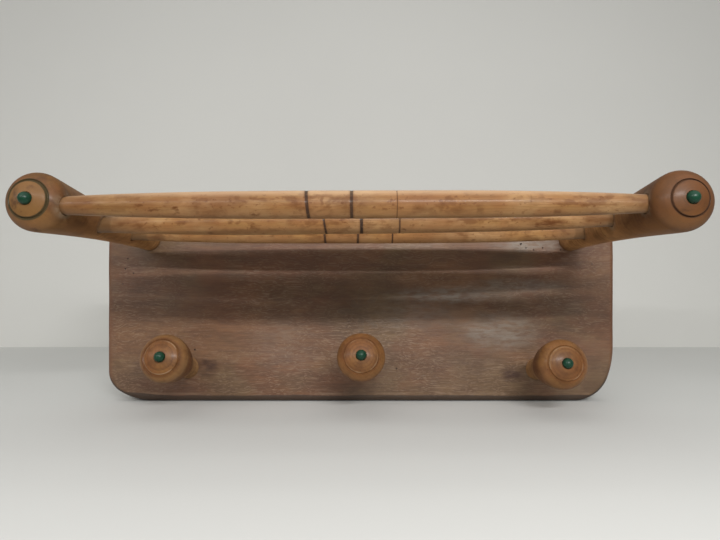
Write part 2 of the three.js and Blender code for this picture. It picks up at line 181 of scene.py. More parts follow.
class PegSettings(bpy.types.PropertyGroup):
    """Sizes and colours of the three pegs."""

    foot_radius: length("Foot radius", "Radius where the peg meets the board", 0.012)
    foot_run: length("Foot run", "How far the foot's turning goes on towards the board", 0.006)
    waist_radius: length("Waist radius", "Radius of the waist's control point", 0.0094)
    waist_run: length("Waist run", "Distance of the waist's control point from the board", 0.03)
    left_head: length("Left head radius", "Largest radius of the left peg", 0.0233)
    centre_head: length("Centre head radius", "Largest radius of the centre peg", 0.0232)
    right_head: length("Right head radius", "Largest radius of the right peg", 0.0239)
    head_run: length("Head run", "Distance of the head's control point behind the nose", 0.028)
    nose_length: length("Nose length", "Length of the domed nose", 0.0135)
    ring_radius: length("Ring radius", "Radius of the ring groove", 0.0168)
    ring_width: length("Ring width", "Width of the ring groove", 0.0012)
    ring_depth: length("Ring depth", "Depth of the ring groove", 0.0008)
    tenon_radius: length("Tenon radius", "Radius of the tenon through the board", 0.007)
    wood: colour("Wood", "Orange-brown of the pegs", 126, 86, 44)
    shade: colour("Shade", "Dark late wood in the rings", 74, 42, 18)
    blush: colour("Blush", "Reddish blotches in the varnish", 118, 72, 38)
    rim: colour("Rim", "Rubbed wood on the rim", 142, 108, 70)
    # Painted light: paler towards the foot
    foot: colour("Foot", "Palest wood, under the blotches at the foot", 182, 140, 94)
    # Painted glint: the lamp's highlight on the edge of the ring groove
    painted_glint: colour("Polish", "Dried polish beside the ring groove", 160, 132, 102)


class BallSettings(bpy.types.PropertyGroup):
    """Sizes and colours of the five glass balls."""

    seat_gap: length("Seat gap", "Gap round a ball in its recess", 0.0003)
    arm_proud: length("Proud of an arm", "How far a ball's centre lies beyond an arm's nose", 0.0)
    peg_proud: length("Proud of a peg", "How far a ball's centre lies beyond a peg's nose", 0.0003)
    glass: colour("Glass", "Deep green of the glass", 24, 66, 46)
    # Darker patches at random through the glass
    depth: colour("Depth", "Darker glass away from the light", 14, 44, 32)


class HangerSettings(bpy.types.PropertyGroup):
    """Sizes and colours of the keyhole hangers, their screws and the tenon wedges."""

    plate_length: length("Plate length", "Length of a hanger plate", 0.048)
    plate_height: length("Plate height", "Height of a hanger plate", 0.024)
    plate_thickness: length("Plate thickness", "Thickness of a hanger plate", 0.0015)
    entry_radius: length("Entry radius", "Radius of the keyhole's round entry", 0.0046)
    slot_radius: length("Slot radius", "Half the width of the keyhole's slot", 0.0024)
    rise: length("Rise", "How far the slot's end lies above the entry", 0.0095)
    pocket_width: length("Pocket width", "Width of the routed pocket", 0.012)
    pocket_height: length("Pocket height", "Height of the routed pocket", 0.021)
    pocket_depth: length("Pocket depth", "Depth of the routed pocket", 0.009)
    screw_core: length("Screw core", "Core radius of a screw", 0.0015)
    screw_head: length("Screw head", "Radius of a screw's head", 0.0031)
    screw_head_depth: length("Screw head depth", "Depth of a screw's countersunk head", 0.0016)
    screw_length: length("Screw length", "From a screw's head to its tip", 0.012)
    wedge_length: length("Wedge length", "How far a wedge is driven into its tenon", 0.013)
    wedge_thick: length("Wedge thick end", "Thickness of a wedge at the board's back", 0.0024)
    wedge_thin: length("Wedge thin end", "Thickness of a wedge at its tip", 0.0008)
    steel: colour("Steel", "Dull plated steel", 168, 168, 164)
    rust: colour("Rust", "Rust in the corners of the steel", 112, 76, 52)
    wedge: colour("Wedge", "Pale hardwood of the wedges", 190, 158, 112)
    wedge_ring: colour("Wedge ring", "Growth rings of the wedges", 150, 114, 74)
    wedge_cloud: colour("Wedge cloud", "Duller parts of the wedges", 132, 100, 68)
    wedge_pore: colour("Wedge pore", "Open pores of the wedges", 96, 68, 44)


class StageSettings(bpy.types.PropertyGroup):
    """Camera, lamps and backdrop."""

    camera_distance: length("Camera distance", "From the camera to the board's back", 0.613)
    camera_height: length("Camera height", "Of the camera above the board's middle", 0.0375)
    wall_distance: length("Wall distance", "From the board's back to the backdrop", 0.397)
    floor_reach: length("Floor reach", "How far the floor goes on in front of the board", 0.42)
    lamp_distance: length("Lamp distance", "From the lamps to the board's back", 0.85)
    lamp_height: length("Lamp height", "Of the lamps above the board's middle", 0.376)
    floor: colour("Floor", "Pale floor", 193, 193, 190)
    wall: colour("Wall", "Pale backdrop", 218, 217, 212)


# Shapes

def bezier(corners, steps):
    """Points on a cubic curve through its four control points."""
    t = np.linspace(0, 1, steps + 1)[:, None]
    a, b, c, d = (np.array(corner) for corner in corners)
    return (1 - t) ** 3 * a + 3 * t * (1 - t) ** 2 * b + 3 * t**2 * (1 - t) * c + t**3 * d


def lathe(outline, sides, shape=None):
    """A closed turning about Z from an outline that starts and ends on the axis; shape moves points."""
    bm = bmesh.new()
    foot, *rings, tip = outline
    first = bm.verts.new((0, 0, foot[1]))
    last = bm.verts.new((0, 0, tip[1]))
    loops = []
    for radius, height in rings:
        loop = []
        for j in range(sides):
            angle = 2 * math.pi * j / sides
            place = Vector((radius * math.cos(angle), radius * math.sin(angle), height))
            loop.append(bm.verts.new(shape(place) if shape else place))
        loops.append(loop)
    for lower, upper in zip(loops, loops[1:]):
        for j in range(sides):
            k = (j + 1) % sides
            bm.faces.new((lower[j], lower[k], upper[k], upper[j]))
    for j in range(sides):
        k = (j + 1) % sides
        bm.faces.new((first, loops[0][k], loops[0][j]))
        bm.faces.new((last, loops[-1][j], loops[-1][k]))
    return bm


def rod(radius, start, end, sides=64):
    """A plain round bar about Z, for tenons and for cutting holes."""
    return lathe([(0, start), (radius, start), (radius, end), (0, end)], sides)


def trim(bm, point, normal):
    """Cuts away what lies beyond a plane and closes the cut."""
    everything = bm.verts[:] + bm.edges[:] + bm.faces[:]
    cut = bmesh.ops.bisect_plane(bm, geom=everything, plane_co=point, plane_no=normal, clear_outer=True)
    rim = [part for part in cut["geom_cut"] if isinstance(part, bmesh.types.BMEdge)]
    bmesh.ops.edgeloop_fill(bm, edges=rim)
    return bm


def prism(outline, start, end):
    """A flat outline in X and Z, carried from one Y to another."""
    bm = bmesh.new()
    loops = [[bm.verts.new((x, y, z)) for x, z in outline] for y in (start, end)]
    count = len(outline)
    for j in range(count):
        k = (j + 1) % count
        bm.faces.new((loops[0][j], loops[0][k], loops[1][k], loops[1][j]))
    for loop in loops:
        bm.faces.new(loop)
    bmesh.ops.recalc_face_normals(bm, faces=bm.faces)
    return bm


def solid(bm, name, place=Matrix.Identity(4)):
    """Turns a bmesh into an object at the origin, with its place in the mesh."""
    mesh = bpy.data.meshes.new(name)
    bm.transform(place)
    bm.to_mesh(mesh)
    bm.free()
    made = bpy.data.objects.new(name, mesh)
    bpy.context.scene.collection.objects.link(made)
    return made


def carve(target, operation, tools):
    """Joins tools to a piece or cuts them out of it, and clears the tools away."""
    tray = bpy.data.collections.new("tools")
    for tool in tools:
        tray.objects.link(tool)
    step = target.modifiers.new("Carve", "BOOLEAN")
    step.operation = operation
    step.operand_type = "COLLECTION"
    step.collection = tray
    step.solver = "EXACT"
    bpy.context.view_layer.update()
    result = target.evaluated_get(bpy.context.evaluated_depsgraph_get())
    shaped = bpy.data.meshes.new_from_object(result)
    target.modifiers.clear()
    target.data = shaped
    for tool in tools:
        bpy.data.objects.remove(tool)
    bpy.data.collections.remove(tray)
    return target


def dress(piece, material, slot, *nodes):
    """Gives a piece its finish, sets it on the rack's body and lets it stand for CAD nodes."""
    piece.data.shade_smooth()
    piece.data.set_sharp_from_angle(angle=math.radians(32))
    piece.data.materials.clear()
    piece.data.materials.append(material)
    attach(piece, "root")
    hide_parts(*nodes)


# Places, read from the frame

def centre(node):
    """The middle of a CAD node's box."""
    low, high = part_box(node)
    return (low + high) / 2


def ball_radius(node):
    """Radius of a ball, from its box."""
    low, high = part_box(node)
    return (high.x - low.x) / 2


def middle_of(places):
    """The mean of some points."""
    return sum(places, Vector()) / len(places)


def standing(origin, out, side):
    """A place whose Z points out along a piece and whose X points as near to side as it can."""
    z = out.normalized()
    x = (side - z * side.dot(z)).normalized()
    place = Matrix((x, z.cross(x), z)).transposed().to_4x4()
    place.translation = origin
    return place


def turning_place(node, ball):
    """Where an arm or peg stands: its origin on the board's front, Z out along it and Y upwards."""
    front = BOARD_LOW.y
    places = [v.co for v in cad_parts[node].data.vertices]
    middle = middle_of([p for p in places if abs(p.y - front + GLUE_GAP) < GLUE_GAP / 10])
    out = (centre(ball) - middle).normalized()
    seat = middle + out * ((front - middle.y) / out.y)
    return standing(seat, out, RIGHT)


def spindle_place(node):
    """Where a spindle lies, with Z along it and X upwards, and half its length."""
    places = [v.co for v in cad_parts[node].data.vertices]
    reach = 0.0015
    low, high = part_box(node)
    start = middle_of([p for p in places if p.x < low.x + reach])
    end = middle_of([p for p in places if p.x > high.x - reach])
    out = (end - start).normalized()
    ends = [out.dot(p - start) for p in places]
    half = (max(ends) - min(ends)) / 2
    return standing(start + out * (min(ends) + half), out, UP), half


ARMS = {side: turning_place(f"arm_{side}", f"ball_arm_{side}") for side in ("left", "right")}
PEGS = {side: turning_place(f"peg_{side}", f"ball_peg_{side}") for side in ("left", "centre", "right")}
SPINDLES = {row: spindle_place(f"slat_{row}") for row in ("front", "middle", "rear")}


# Shader nodes

def feed(node, inputs):
    """Links or sets a node's inputs."""
    for name, value in inputs.items():
        if isinstance(value, bpy.types.NodeSocket):
            node.id_data.links.new(value, node.inputs[name])
        elif isinstance(value, (tuple, list)) and len(node.inputs[name].default_value) > len(value):
            node.inputs[name].default_value = (*value, 1)
        else:
            node.inputs[name].default_value = value
    return node


def put(tree, kind, inputs=None, **settings):
    """Adds a node to a tree, sets it up and feeds it."""
    node = tree.nodes.new(kind)
    for name, value in settings.items():
        setattr(node, name, value)
    return feed(node, inputs or {})


def follow(kind, inputs, **settings):
    """Adds a node to the tree of the sockets that feed it."""
    tree = next(value.id_data for value in inputs.values() if isinstance(value, bpy.types.NodeSocket))
    return put(tree, kind, inputs, **settings)


def reckon(operation, *values):
    """The result of a Math node."""
    return follow("ShaderNodeMath", dict(enumerate(values)), operation=operation).outputs[0]


def vectors(operation, *values, result="Vector"):
    """The result of a Vector Math node."""
    return follow("ShaderNodeVectorMath", dict(enumerate(values)), operation=operation).outputs[result]


def rise(value, low, high, start=0.0, end=1.0):
    """A value eased from start to end while the input goes from low to high."""
    inputs = {"Value": value, "From Min": low, "From Max": high, "To Min": start, "To Max": end}
    return follow("ShaderNodeMapRange", inputs, interpolation_type="SMOOTHSTEP").outputs["Result"]


def fall(value, low, high):
    """1 up to low, eased down to 0 at high."""
    return rise(value, low, high, 1.0, 0.0)


def times(*masks):
    """The product of masks and numbers."""
    result = masks[0]
    for mask in masks[1:]:
        result = reckon("MULTIPLY", result, mask)
    return result


def noise_at(place, scale, detail=3.0, seed=0.0, result="Fac"):
    """Smooth noise, with a seed as its fourth coordinate."""
    inputs = {"Vector": place, "W": seed, "Scale": scale, "Detail": detail, "Roughness": 0.55}
    return follow("ShaderNodeTexNoise", inputs, noise_dimensions="4D").outputs[result]


def stray(place, scale, detail, seed):
    """A direction that wanders over the surface, 0 on average."""
    return vectors("SUBTRACT", noise_at(place, scale, detail, seed, "Color"), (0.5, 0.5, 0.5))


def scaled(vector, scale):
    """A vector times a number."""
    return follow("ShaderNodeVectorMath", {0: vector, "Scale": scale}, operation="SCALE").outputs[0]


def split(vector):
    """The X, Y and Z of a vector."""
    return follow("ShaderNodeSeparateXYZ", {"Vector": vector}).outputs[:]


def radius_of(place):
    """Distance from the Z axis."""
    flat = vectors("MULTIPLY", place, (1, 1, 0))
    return vectors("LENGTH", flat, result="Value")


# Effects that several finishes share

FLOAT = "NodeSocketFloat"
VECTOR = "NodeSocketVector"


def effect(name, inputs, outputs, wire):
    """A node group: inputs are (name, kind, default), and wire returns what each output gets."""
    tree = bpy.data.node_groups.new(name, "ShaderNodeTree")
    for label, kind, default in inputs:
        tree.interface.new_socket(label, in_out="INPUT", socket_type=kind).default_value = default
    for label in outputs:
        tree.interface.new_socket(label, in_out="OUTPUT", socket_type=FLOAT)
    given = put(tree, "NodeGroupInput").outputs
    results = wire({label: given[label] for label, _, _ in inputs})
    put(tree, "NodeGroupOutput", dict(zip(outputs, results)))
    return tree


def wire_grain(given):
    """Growth rings round a pith, fibres along Z, slow clouds of tone, and short open pores."""
    place, seed = given["Vector"], given["Seed"]
    slow = vectors("MULTIPLY", place, (1, 1, 0.18))
    drift = scaled(stray(slow, 14, 3, seed), given["Wander"])
    strayed = vectors("ADD", vectors("SUBTRACT", place, given["Pith"]), drift)
    age = reckon("DIVIDE", radius_of(strayed), given["Ring Spacing"])
    year = reckon("FRACT", age)
    late = rise(year, 0.25, 0.85)
    rings = reckon("MULTIPLY", late, fall(year, 0.9, 1.0))
    fibres = noise_at(vectors("MULTIPLY", place, (1, 1, 0.035)), 1100, 3, seed)
    clouds = noise_at(vectors("MULTIPLY", place, (1, 1, 0.4)), 32, 4, seed)
    pores = noise_at(vectors("MULTIPLY", place, (1, 1, 0.09)), 1500, 1, seed)
    return rings, rise(fibres, 0.3, 0.7), rise(clouds, 0.32, 0.68), rise(pores, 0.62, 0.72)


def wire_patches(given):
    """Irregular patches where stretched noise passes a level."""
    place = vectors("MULTIPLY", given["Vector"], given["Stretch"])
    bend = scaled(stray(given["Vector"], 22, 2, given["Seed"]), given["Warp"])
    value = noise_at(vectors("ADD", place, bend), given["Scale"], 3, given["Seed"])
    low = reckon("SUBTRACT", given["Level"], given["Softness"])
    high = reckon("ADD", given["Level"], given["Softness"])
    return (rise(value, low, high),)


def wire_band(given):
    """A band of a width round a centre value, with soft edges."""
    away = reckon("ABSOLUTE", reckon("SUBTRACT", given["Value"], given["Centre"]))
    half = reckon("MULTIPLY", given["Width"], 0.5)
    return (fall(away, half, reckon("ADD", half, given["Softness"])),)


def wire_spot(given):
    """A round or, with a stretch, an oval spot."""
    away = vectors("SUBTRACT", given["Vector"], given["Centre"])
    away = vectors("MULTIPLY", away, given["Stretch"])
    distance = vectors("LENGTH", away, result="Value")
    low = reckon("SUBTRACT", given["Radius"], given["Softness"])
    high = reckon("ADD", given["Radius"], given["Softness"])
    return (fall(distance, low, high),)


def wire_lathe_marks(given):
    """Fine rings that a turning tool leaves, by the distance from the axis and the height."""
    along = reckon("MULTIPLY", split(given["Vector"])[2], 0.6)
    run = reckon("ADD", radius_of(given["Vector"]), along)
    line = follow("ShaderNodeCombineXYZ", {"X": run}).outputs[0]
    return (noise_at(line, reckon("DIVIDE", 1.0, given["Spacing"]), 2, given["Seed"]),)


def build_effects():
    """All shared effects by name."""
    seed = ("Seed", FLOAT, 0.0)
    place = ("Vector", VECTOR, (0, 0, 0))
    grain_inputs = [place, ("Ring Spacing", FLOAT, 0.002), ("Pith", VECTOR, (0, 0, 0)),
                    ("Wander", FLOAT, 0.01), seed]
    patch_inputs = [place, ("Stretch", VECTOR, (1, 1, 1)), ("Scale", FLOAT, 50), ("Warp", FLOAT, 0),
                    ("Level", FLOAT, 0.6), ("Softness", FLOAT, 0.06), seed]
    band_inputs = [("Value", FLOAT, 0), ("Centre", FLOAT, 0), ("Width", FLOAT, 0.001),
                   ("Softness", FLOAT, 0.0003)]
    spot_inputs = [place, ("Centre", VECTOR, (0, 0, 0)), ("Stretch", VECTOR, (1, 1, 1)),
                   ("Radius", FLOAT, 0.001), ("Softness", FLOAT, 0.0003)]
    mark_inputs = [place, ("Spacing", FLOAT, 0.001), seed]
    return {
        "grain": effect("Wood grain", grain_inputs, ("Rings", "Fibres", "Clouds", "Pores"), wire_grain),
        "patches": effect("Patches", patch_inputs, ("Mask",), wire_patches),
        "band": effect("Band", band_inputs, ("Mask",), wire_band),
        "spot": effect("Spot", spot_inputs, ("Mask",), wire_spot),
        "marks": effect("Lathe marks", mark_inputs, ("Mask",), wire_lathe_marks),
    }


EFFECTS = build_effects()


class Finish:
    """A material built up in layers of colour, roughness and height."""

    def __init__(self, name, base, roughness, along="Z", place=None):
        self.material = bpy.data.materials.new(name)
        self.material.use_nodes = True
        self.tree = self.material.node_tree
        self.shader = self.tree.nodes["Principled BSDF"]
        self.place = put(self.tree, "ShaderNodeTexCoord").outputs["Object"]
        if place:
            inputs = {"Vector": self.place, "Location": place.translation, "Rotation": place.to_euler()}
            self.place = put(self.tree, "ShaderNodeMapping", inputs, vector_type="TEXTURE").outputs[0]
        self.run = self.place
        if along == "X":
            x, y, z = split(self.place)
            self.run = follow("ShaderNodeCombineXYZ", {"X": y, "Y": z, "Z": x}).outputs[0]
        self.colour = tuple(base)
        self.roughness = roughness
        self.height = 0.0

    def use(self, name, **inputs):
        """The outputs of a shared effect, with its inputs by name; a single output comes by itself."""
        given = {key.replace("_", " ").title(): value for key, value in inputs.items()}
        outputs = put(self.tree, "ShaderNodeGroup", given, node_tree=EFFECTS[name]).outputs[:]
        return outputs if len(outputs) > 1 else outputs[0]

    def grain(self, spacing, pith, wander, seed):
        """The four masks of the wood itself."""
        return self.use("grain", vector=self.run, ring_spacing=spacing, pith=pith, wander=wander,
                        seed=seed)

    def patches(self, scale, level, softness, along=1.0, seed=0.0, warp=0.0, across=1.0):
        """Patches, longer in the direction of the grain the smaller along is, and likewise across."""
        return self.use("patches", vector=self.run, scale=scale, level=level, softness=softness,
                        stretch=(across, 1, along), seed=seed, warp=warp)

    def band(self, value, middle, width, softness):
        """A soft-edged band, where a value lies near a middle one."""
        return self.use("band", value=value, centre=middle, width=width, softness=softness)

    def spot(self, middle, radius, softness):
        """A soft-edged round spot."""
        return self.use("spot", vector=self.place, centre=middle, radius=radius, softness=softness)

    def paint(self, mask, tint, share=1.0):
        """Mixes a colour in where the mask says."""
        inputs = {0: times(mask, share), 6: self.colour, 7: tuple(tint)}
        self.colour = follow("ShaderNodeMix", inputs, data_type="RGBA").outputs[2]

    def stain(self, marks, tint, where, second=2):
        """Paints ragged ovals: place and size in mm along X and a second axis, and strength."""
        bend = stray(self.place, 260, 3, 0.0)
        strayed = vectors("MULTIPLY_ADD", bend, (0.005, 0.005, 0.005), self.place)
        total = 0.0
        for across, up, width, height, share in marks:
            middle, stretch, radius = [MM * across, 0, 0], [1, 0, 0], MM * width / 2
            middle[second], stretch[second] = MM * up, width / height
            spot = self.use("spot", vector=strayed, centre=middle, stretch=stretch, radius=radius,
                            softness=0.6 * radius)
            total = reckon("MAXIMUM", total, times(spot, share))
        ragged = reckon("MULTIPLY_ADD", self.patches(260, 0.47, 0.1, 0.3, 91.0), 0.65, 0.35)
        self.paint(times(total, ragged, where), tint)

    def paint_all(self, tint, *layers):
        """Paints one colour in several layers, each a mask and its share."""
        for mask, share in layers:
            self.paint(mask, tint, share)

    def roughen(self, *layers):
        """Makes the surface rougher, or with a negative amount glossier, where each mask says."""
        for mask, amount in layers:
            self.roughness = reckon("MULTIPLY_ADD", mask, amount, self.roughness)

    def relief(self, *layers):
        """Raises the surface, or with negative micrometres lowers it, where each mask says."""
        for mask, micrometres in layers:
            self.height = reckon("MULTIPLY_ADD", mask, micrometres / 1e6, self.height)

    def done(self, **constants):
        """Feeds the shader with what was built up and with its other values, by name."""
        inputs = {name.replace("_", " ").title().replace("Ior", "IOR"): value
                  for name, value in constants.items()}
        inputs |= {"Base Color": self.colour, "Roughness": self.roughness}
        if self.height:
            bump = follow("ShaderNodeBump", {"Height": self.height, "Distance": 1.0})
            inputs["Normal"] = bump.outputs["Normal"]
        feed(self.shader, inputs)
        return self.material


# Stage

IMAGE_WIDTH_PIXELS = 720
FOCAL_LENGTH_PIXELS = 541
SENSOR_WIDTH = 36.0
CAMERA_SIDE = -0.00095
# Lamps: place along X, width, and power in watts
LAMPS = {"Tube lamp": (-0.15, 2.0, 7.0), "Key lamp": (0.2, 0.3, 4.0)}
LAMP_THICKNESS = 0.006
LAMP_TILT = 0.009
CEILING_STRENGTH = 1.25
ROOM_STRENGTH = 0.07
STAGE_HALF_WIDTH = 3.0
FLOOR_GAP = 0.0002


def add_camera(settings):
    """The camera, square to the board."""
    data = bpy.data.cameras.new("Camera")
    data.sensor_width = SENSOR_WIDTH
    data.lens = FOCAL_LENGTH_PIXELS / IMAGE_WIDTH_PIXELS * SENSOR_WIDTH
    data.clip_start = 0.01
    camera = bpy.data.objects.new("Camera", data)
    camera.location = (CAMERA_SIDE, -settings.camera_distance, settings.camera_height)
    camera.rotation_euler = (math.pi / 2, 0, 0)
    bpy.context.scene.collection.objects.link(camera)
    bpy.context.scene.camera = camera


def add_lamp(name, place, width, power):
    """A thin lamp, turned to the board, that the camera doesn't see."""
    data = bpy.data.lights.new(name, "AREA")
    data.shape = "RECTANGLE"
    data.size = width
    data.size_y = LAMP_THICKNESS
    data.energy = power
    lamp = bpy.data.objects.new(name, data)
    lamp.location = place
    facing = (Vector(place) - centre("board")).to_track_quat("Z", "Y").to_matrix()
    lamp.rotation_euler = (Matrix.Rotation(-LAMP_TILT, 3, "Y") @ facing).to_euler()
    lamp.visible_camera = False
    bpy.context.scene.collection.objects.link(lamp)


def one_sided(name, tint):
    """A matt pale surface that shows from its front only."""
    finish = Finish(name, tint, 0.7)
    finish.paint(finish.patches(3, 0.5, 0.2), tuple(0.97 * c for c in tint), 0.6)
    material = finish.done(specular_ior_level=0.3)
    tree = finish.tree
    clear = put(tree, "ShaderNodeBsdfTransparent").outputs[0]
    behind = put(tree, "ShaderNodeNewGeometry").outputs["Backfacing"]
    mix = put(tree, "ShaderNodeMixShader", {0: behind, 1: finish.shader.outputs[0], 2: clear})
    feed(tree.nodes["Material Output"], {"Surface": mix.outputs[0]})
    return material


def add_sheet(name, corners, material):
    """A flat part of the stage."""
    mesh = bpy.data.meshes.new(name)
    mesh.from_pydata(corners, [], [(0, 1, 2, 3)])
    mesh.materials.append(material)
    sheet = bpy.data.objects.new(name, mesh)
    bpy.context.scene.collection.objects.link(sheet)


def add_room(above, ahead, backdrop):
    """Light from a bright ceiling and a dim room in front, and a pale backdrop beyond the stage."""
    world = bpy.data.worlds.new("Room")
    world.use_nodes = True
    tree = world.node_tree
    direction = put(tree, "ShaderNodeTexCoord").outputs["Generated"]
    strength = rise(split(direction)[2], 0.35, 0.95, ahead, above)
    light = feed(tree.nodes["Background"], {"Color": (1.0, 1.0, 0.98), "Strength": strength})
    pale = put(tree, "ShaderNodeBackground", {"Color": tuple(backdrop), "Strength": 1.0})
    ray = put(tree, "ShaderNodeLightPath").outputs
    mirrored = reckon("MAXIMUM", ray["Is Glossy Ray"], ray["Is Transmission Ray"])
    behind = rise(split(direction)[1], -0.1, 0.3)
    shown = reckon("MAXIMUM", ray["Is Camera Ray"], reckon("MULTIPLY", mirrored, behind))
    mix = put(tree, "ShaderNodeMixShader", {0: shown, 1: light.outputs[0], 2: pale.outputs[0]})
    feed(tree.nodes["World Output"], {"Surface": mix.outputs[0]})
    bpy.context.scene.world = world


class COATRACK_OT_stage(bpy.types.Operator):
    """Add the camera, the lamps, the floor and the backdrop"""

    bl_idname = "coat_rack.stage"
    bl_label = "Stage"

    def execute(self, context):
        settings = context.scene.coat_rack_stage
        context.scene.view_settings.view_transform = "Standard"
        add_camera(settings)
        for name, (x, width, power) in LAMPS.items():
            add_lamp(name, (x, -settings.lamp_distance, settings.lamp_height), width, power)
        add_room(CEILING_STRENGTH, ROOM_STRENGTH, settings.wall)
        half, low = STAGE_HALF_WIDTH, BOARD_LOW.z - FLOOR_GAP
        front, back = -settings.floor_reach, settings.wall_distance
        ground = [(-half, front, low), (half, front, low), (half, half, low), (-half, half, low)]
        wall = [(-half, back, low), (half, back, low), (half, back, half), (-half, back, half)]
        add_sheet("floor", ground, one_sided("Pale floor", settings.floor))
        add_sheet("backdrop", wall, one_sided("Pale wall", settings.wall))
        return {"FINISHED"}


# Board

# Worm holes in mm: place along X and Z, and radius
WORM_HOLES = [
    (175.4, 66, 0.9), (199.3, 61.6, 0.7), (180.9, 61.6, 0.6), (189.5, 59.5, 0.6), (219, 59.6, 0.7),
    (253.2, 44.1, 0.6), (-255.4, 49.9, 0.6), (-258, 38.8, 0.7), (-249, 33.9, 0.6), (-260.9, 22.2, 0.5),
    (-181.9, -49.9, 0.8), (39.1, -70.5, 0.7),
]
# Spots of the board: place along X and Z, width and height in mm, and strength. The first list is
# painted sheen, the lamp's greyish reflection
PAINTED_SHEEN_SPOTS = [
    (153, -30, 75, 34, 0.75), (98, 10, 110, 16, 0.8), (190, 66, 75, 14, 0.7), (60, -10, 90, 30, 0.3),
    (-85, -45, 70, 50, 0.25), (170, 20, 90, 14, 0.5),
]
# Painted shade: dark spots, beside and below the pegs' feet above all
PAINTED_SHADE_SPOTS = [
    (-168, -70.3, 22, 16, 1.6), (166, -76.9, 24, 14, 1.2), (-4, -92, 40, 20, 0.4),
    (-196, -94, 50, 16, 0.4), (40, 40, 70, 20, 0.25), (-240, 20, 30, 80, 0.25),
]
WORM_HOLE_DEPTH = 0.005
WAVES_PER_METRE = 21
# The faded star: height of its middle, reach of its notches, how much further its rays go, petals
STAR_HEIGHT = -0.008
STAR_NOTCH = 0.009
STAR_RAY = 0.017
STAR_PETALS = 4.0


def lower_corner(side_arc, first_turn, bottom_arc):
    """The two arcs of a lower corner: radius, inset from the side and height above the bottom."""
    growth = bottom_arc - side_arc
    by_side = (side_arc, side_arc, bottom_arc - growth * math.sin(first_turn))
    by_bottom = (bottom_arc, side_arc + growth * math.cos(first_turn), bottom_arc)
    return by_side, by_bottom


def board_outline(settings):
    """Points round the board, each with the direction that points out of it there."""
    low, high, quarter = BOARD_LOW, BOARD_HIGH, math.pi / 2
    left, right, upper = settings.left_turn, settings.right_turn, settings.upper_corner
    left_side, left_bottom = lower_corner(settings.left_side_arc, left, settings.left_bottom_arc)
    right_side, right_bottom = lower_corner(settings.right_side_arc, right, settings.right_bottom_arc)
    top = high.z - upper - low.z
    corners = [
        (high.x, 1, *right_bottom, -quarter, -right),
        (high.x, 1, *right_side, -right, 0),
        (high.x, 1, upper, upper, top, 0, quarter),
        (low.x, -1, upper, upper, top, quarter, 2 * quarter),
        (low.x, -1, *left_side, 2 * quarter, 2 * quarter + left),
        (low.x, -1, *left_bottom, 2 * quarter + left, 3 * quarter),
    ]
    turn_step = quarter / 24
    straight_step = 0.008
    arcs = []
    for edge, side, radius, inset, height, start, end in corners:
        middle = Vector((edge - side * inset, low.z + height))
        steps = round((end - start) / turn_step)
        angles = [start + (end - start) * i / steps for i in range(steps + 1)]
        turns = [Vector((math.cos(a), math.sin(a))) for a in angles]
        arcs.append([(middle + way * radius, way) for way in turns])
    points = []
    for arc, following in zip(arcs, arcs[1:] + arcs[:1]):
        start, out = arc[-1]
        run = following[0][0] - start
        count = round(run.length / straight_step)
        points += arc if count else arc[:-1]
        points += [(start + run * i / count, out) for i in range(1, count)]
    return points


def board_blank(settings):
    """The board before its holes are cut, with soft edges and a slightly wandering outline."""
    thickness = BOARD_HIGH.y - BOARD_LOW.y
    soft = settings.edge_round
    flat_rim = soft + 0.0006
    steps = 7
    quarter = [math.pi / 2 * i / steps for i in range(steps + 1)]
    section = [(flat_rim, 0.0)]
    section += [(soft * (1 - math.sin(a)), -soft * (1 - math.cos(a))) for a in quarter]
    section += [(soft * (1 - math.cos(a)), -thickness + soft * (1 - math.sin(a))) for a in quarter]
    section += [(flat_rim, -thickness)]
    bm = bmesh.new()
    loops = []
    outline = board_outline(settings)
    for inset, y in section:
        loop = []
        for point, out in outline:
            wave = abs(noise(Vector((*(point * WAVES_PER_METRE), 5.3)))) * settings.waviness
            place = point - out * (inset + wave)
            loop.append(bm.verts.new((place.x, y, place.y)))
        loops.append(loop)
    count = len(outline)
    for first, second in zip(loops, loops[1:]):
        for j in range(count):
            k = (j + 1) % count
            bm.faces.new((first[j], first[k], second[k], second[j]))
    bm.faces.new(loops[0])
    bm.faces.new(loops[-1])
    bmesh.ops.recalc_face_normals(bm, faces=bm.faces)
    return solid(bm, "back_board")


def round_ended(full_length, height, steps=16):
    """An outline with straight sides and round ends."""
    radius = height / 2
    straight = full_length / 2 - radius
    right = [math.pi * (i / steps - 0.5) for i in range(steps + 1)]
    points = [(straight + radius * math.cos(a), radius * math.sin(a)) for a in right]
    return points + [(-x, -z) for x, z in points]


def shifted(outline, x, z):
    """An outline moved by x and z."""
    return [(x + px, z + pz) for px, pz in outline]


def screw_clearance(settings):
    """The hole for a screw and its head, along Z."""
    radius = settings.screw_core + GLUE_GAP
    head = settings.screw_head + GLUE_GAP
    below, above = 0.001, 0.01
    bottom = -settings.screw_length - below
    outline = [(0, bottom), (radius, bottom), (radius, -settings.screw_head_depth), (head, 0),
               (head, above), (0, above)]
    return lathe(outline, 32)


def screw_places():
    """Where each hanger screw stands: head to the back, along Y."""
    places = {}
    for side in ("left", "right"):
        for end in ("outer", "inner"):
            node = f"hanger_screw_{side}_{end}"
            head = centre(node)
            head.y = -FLUSH_DEPTH
            places[node] = standing(head, BACK, RIGHT)
    return places


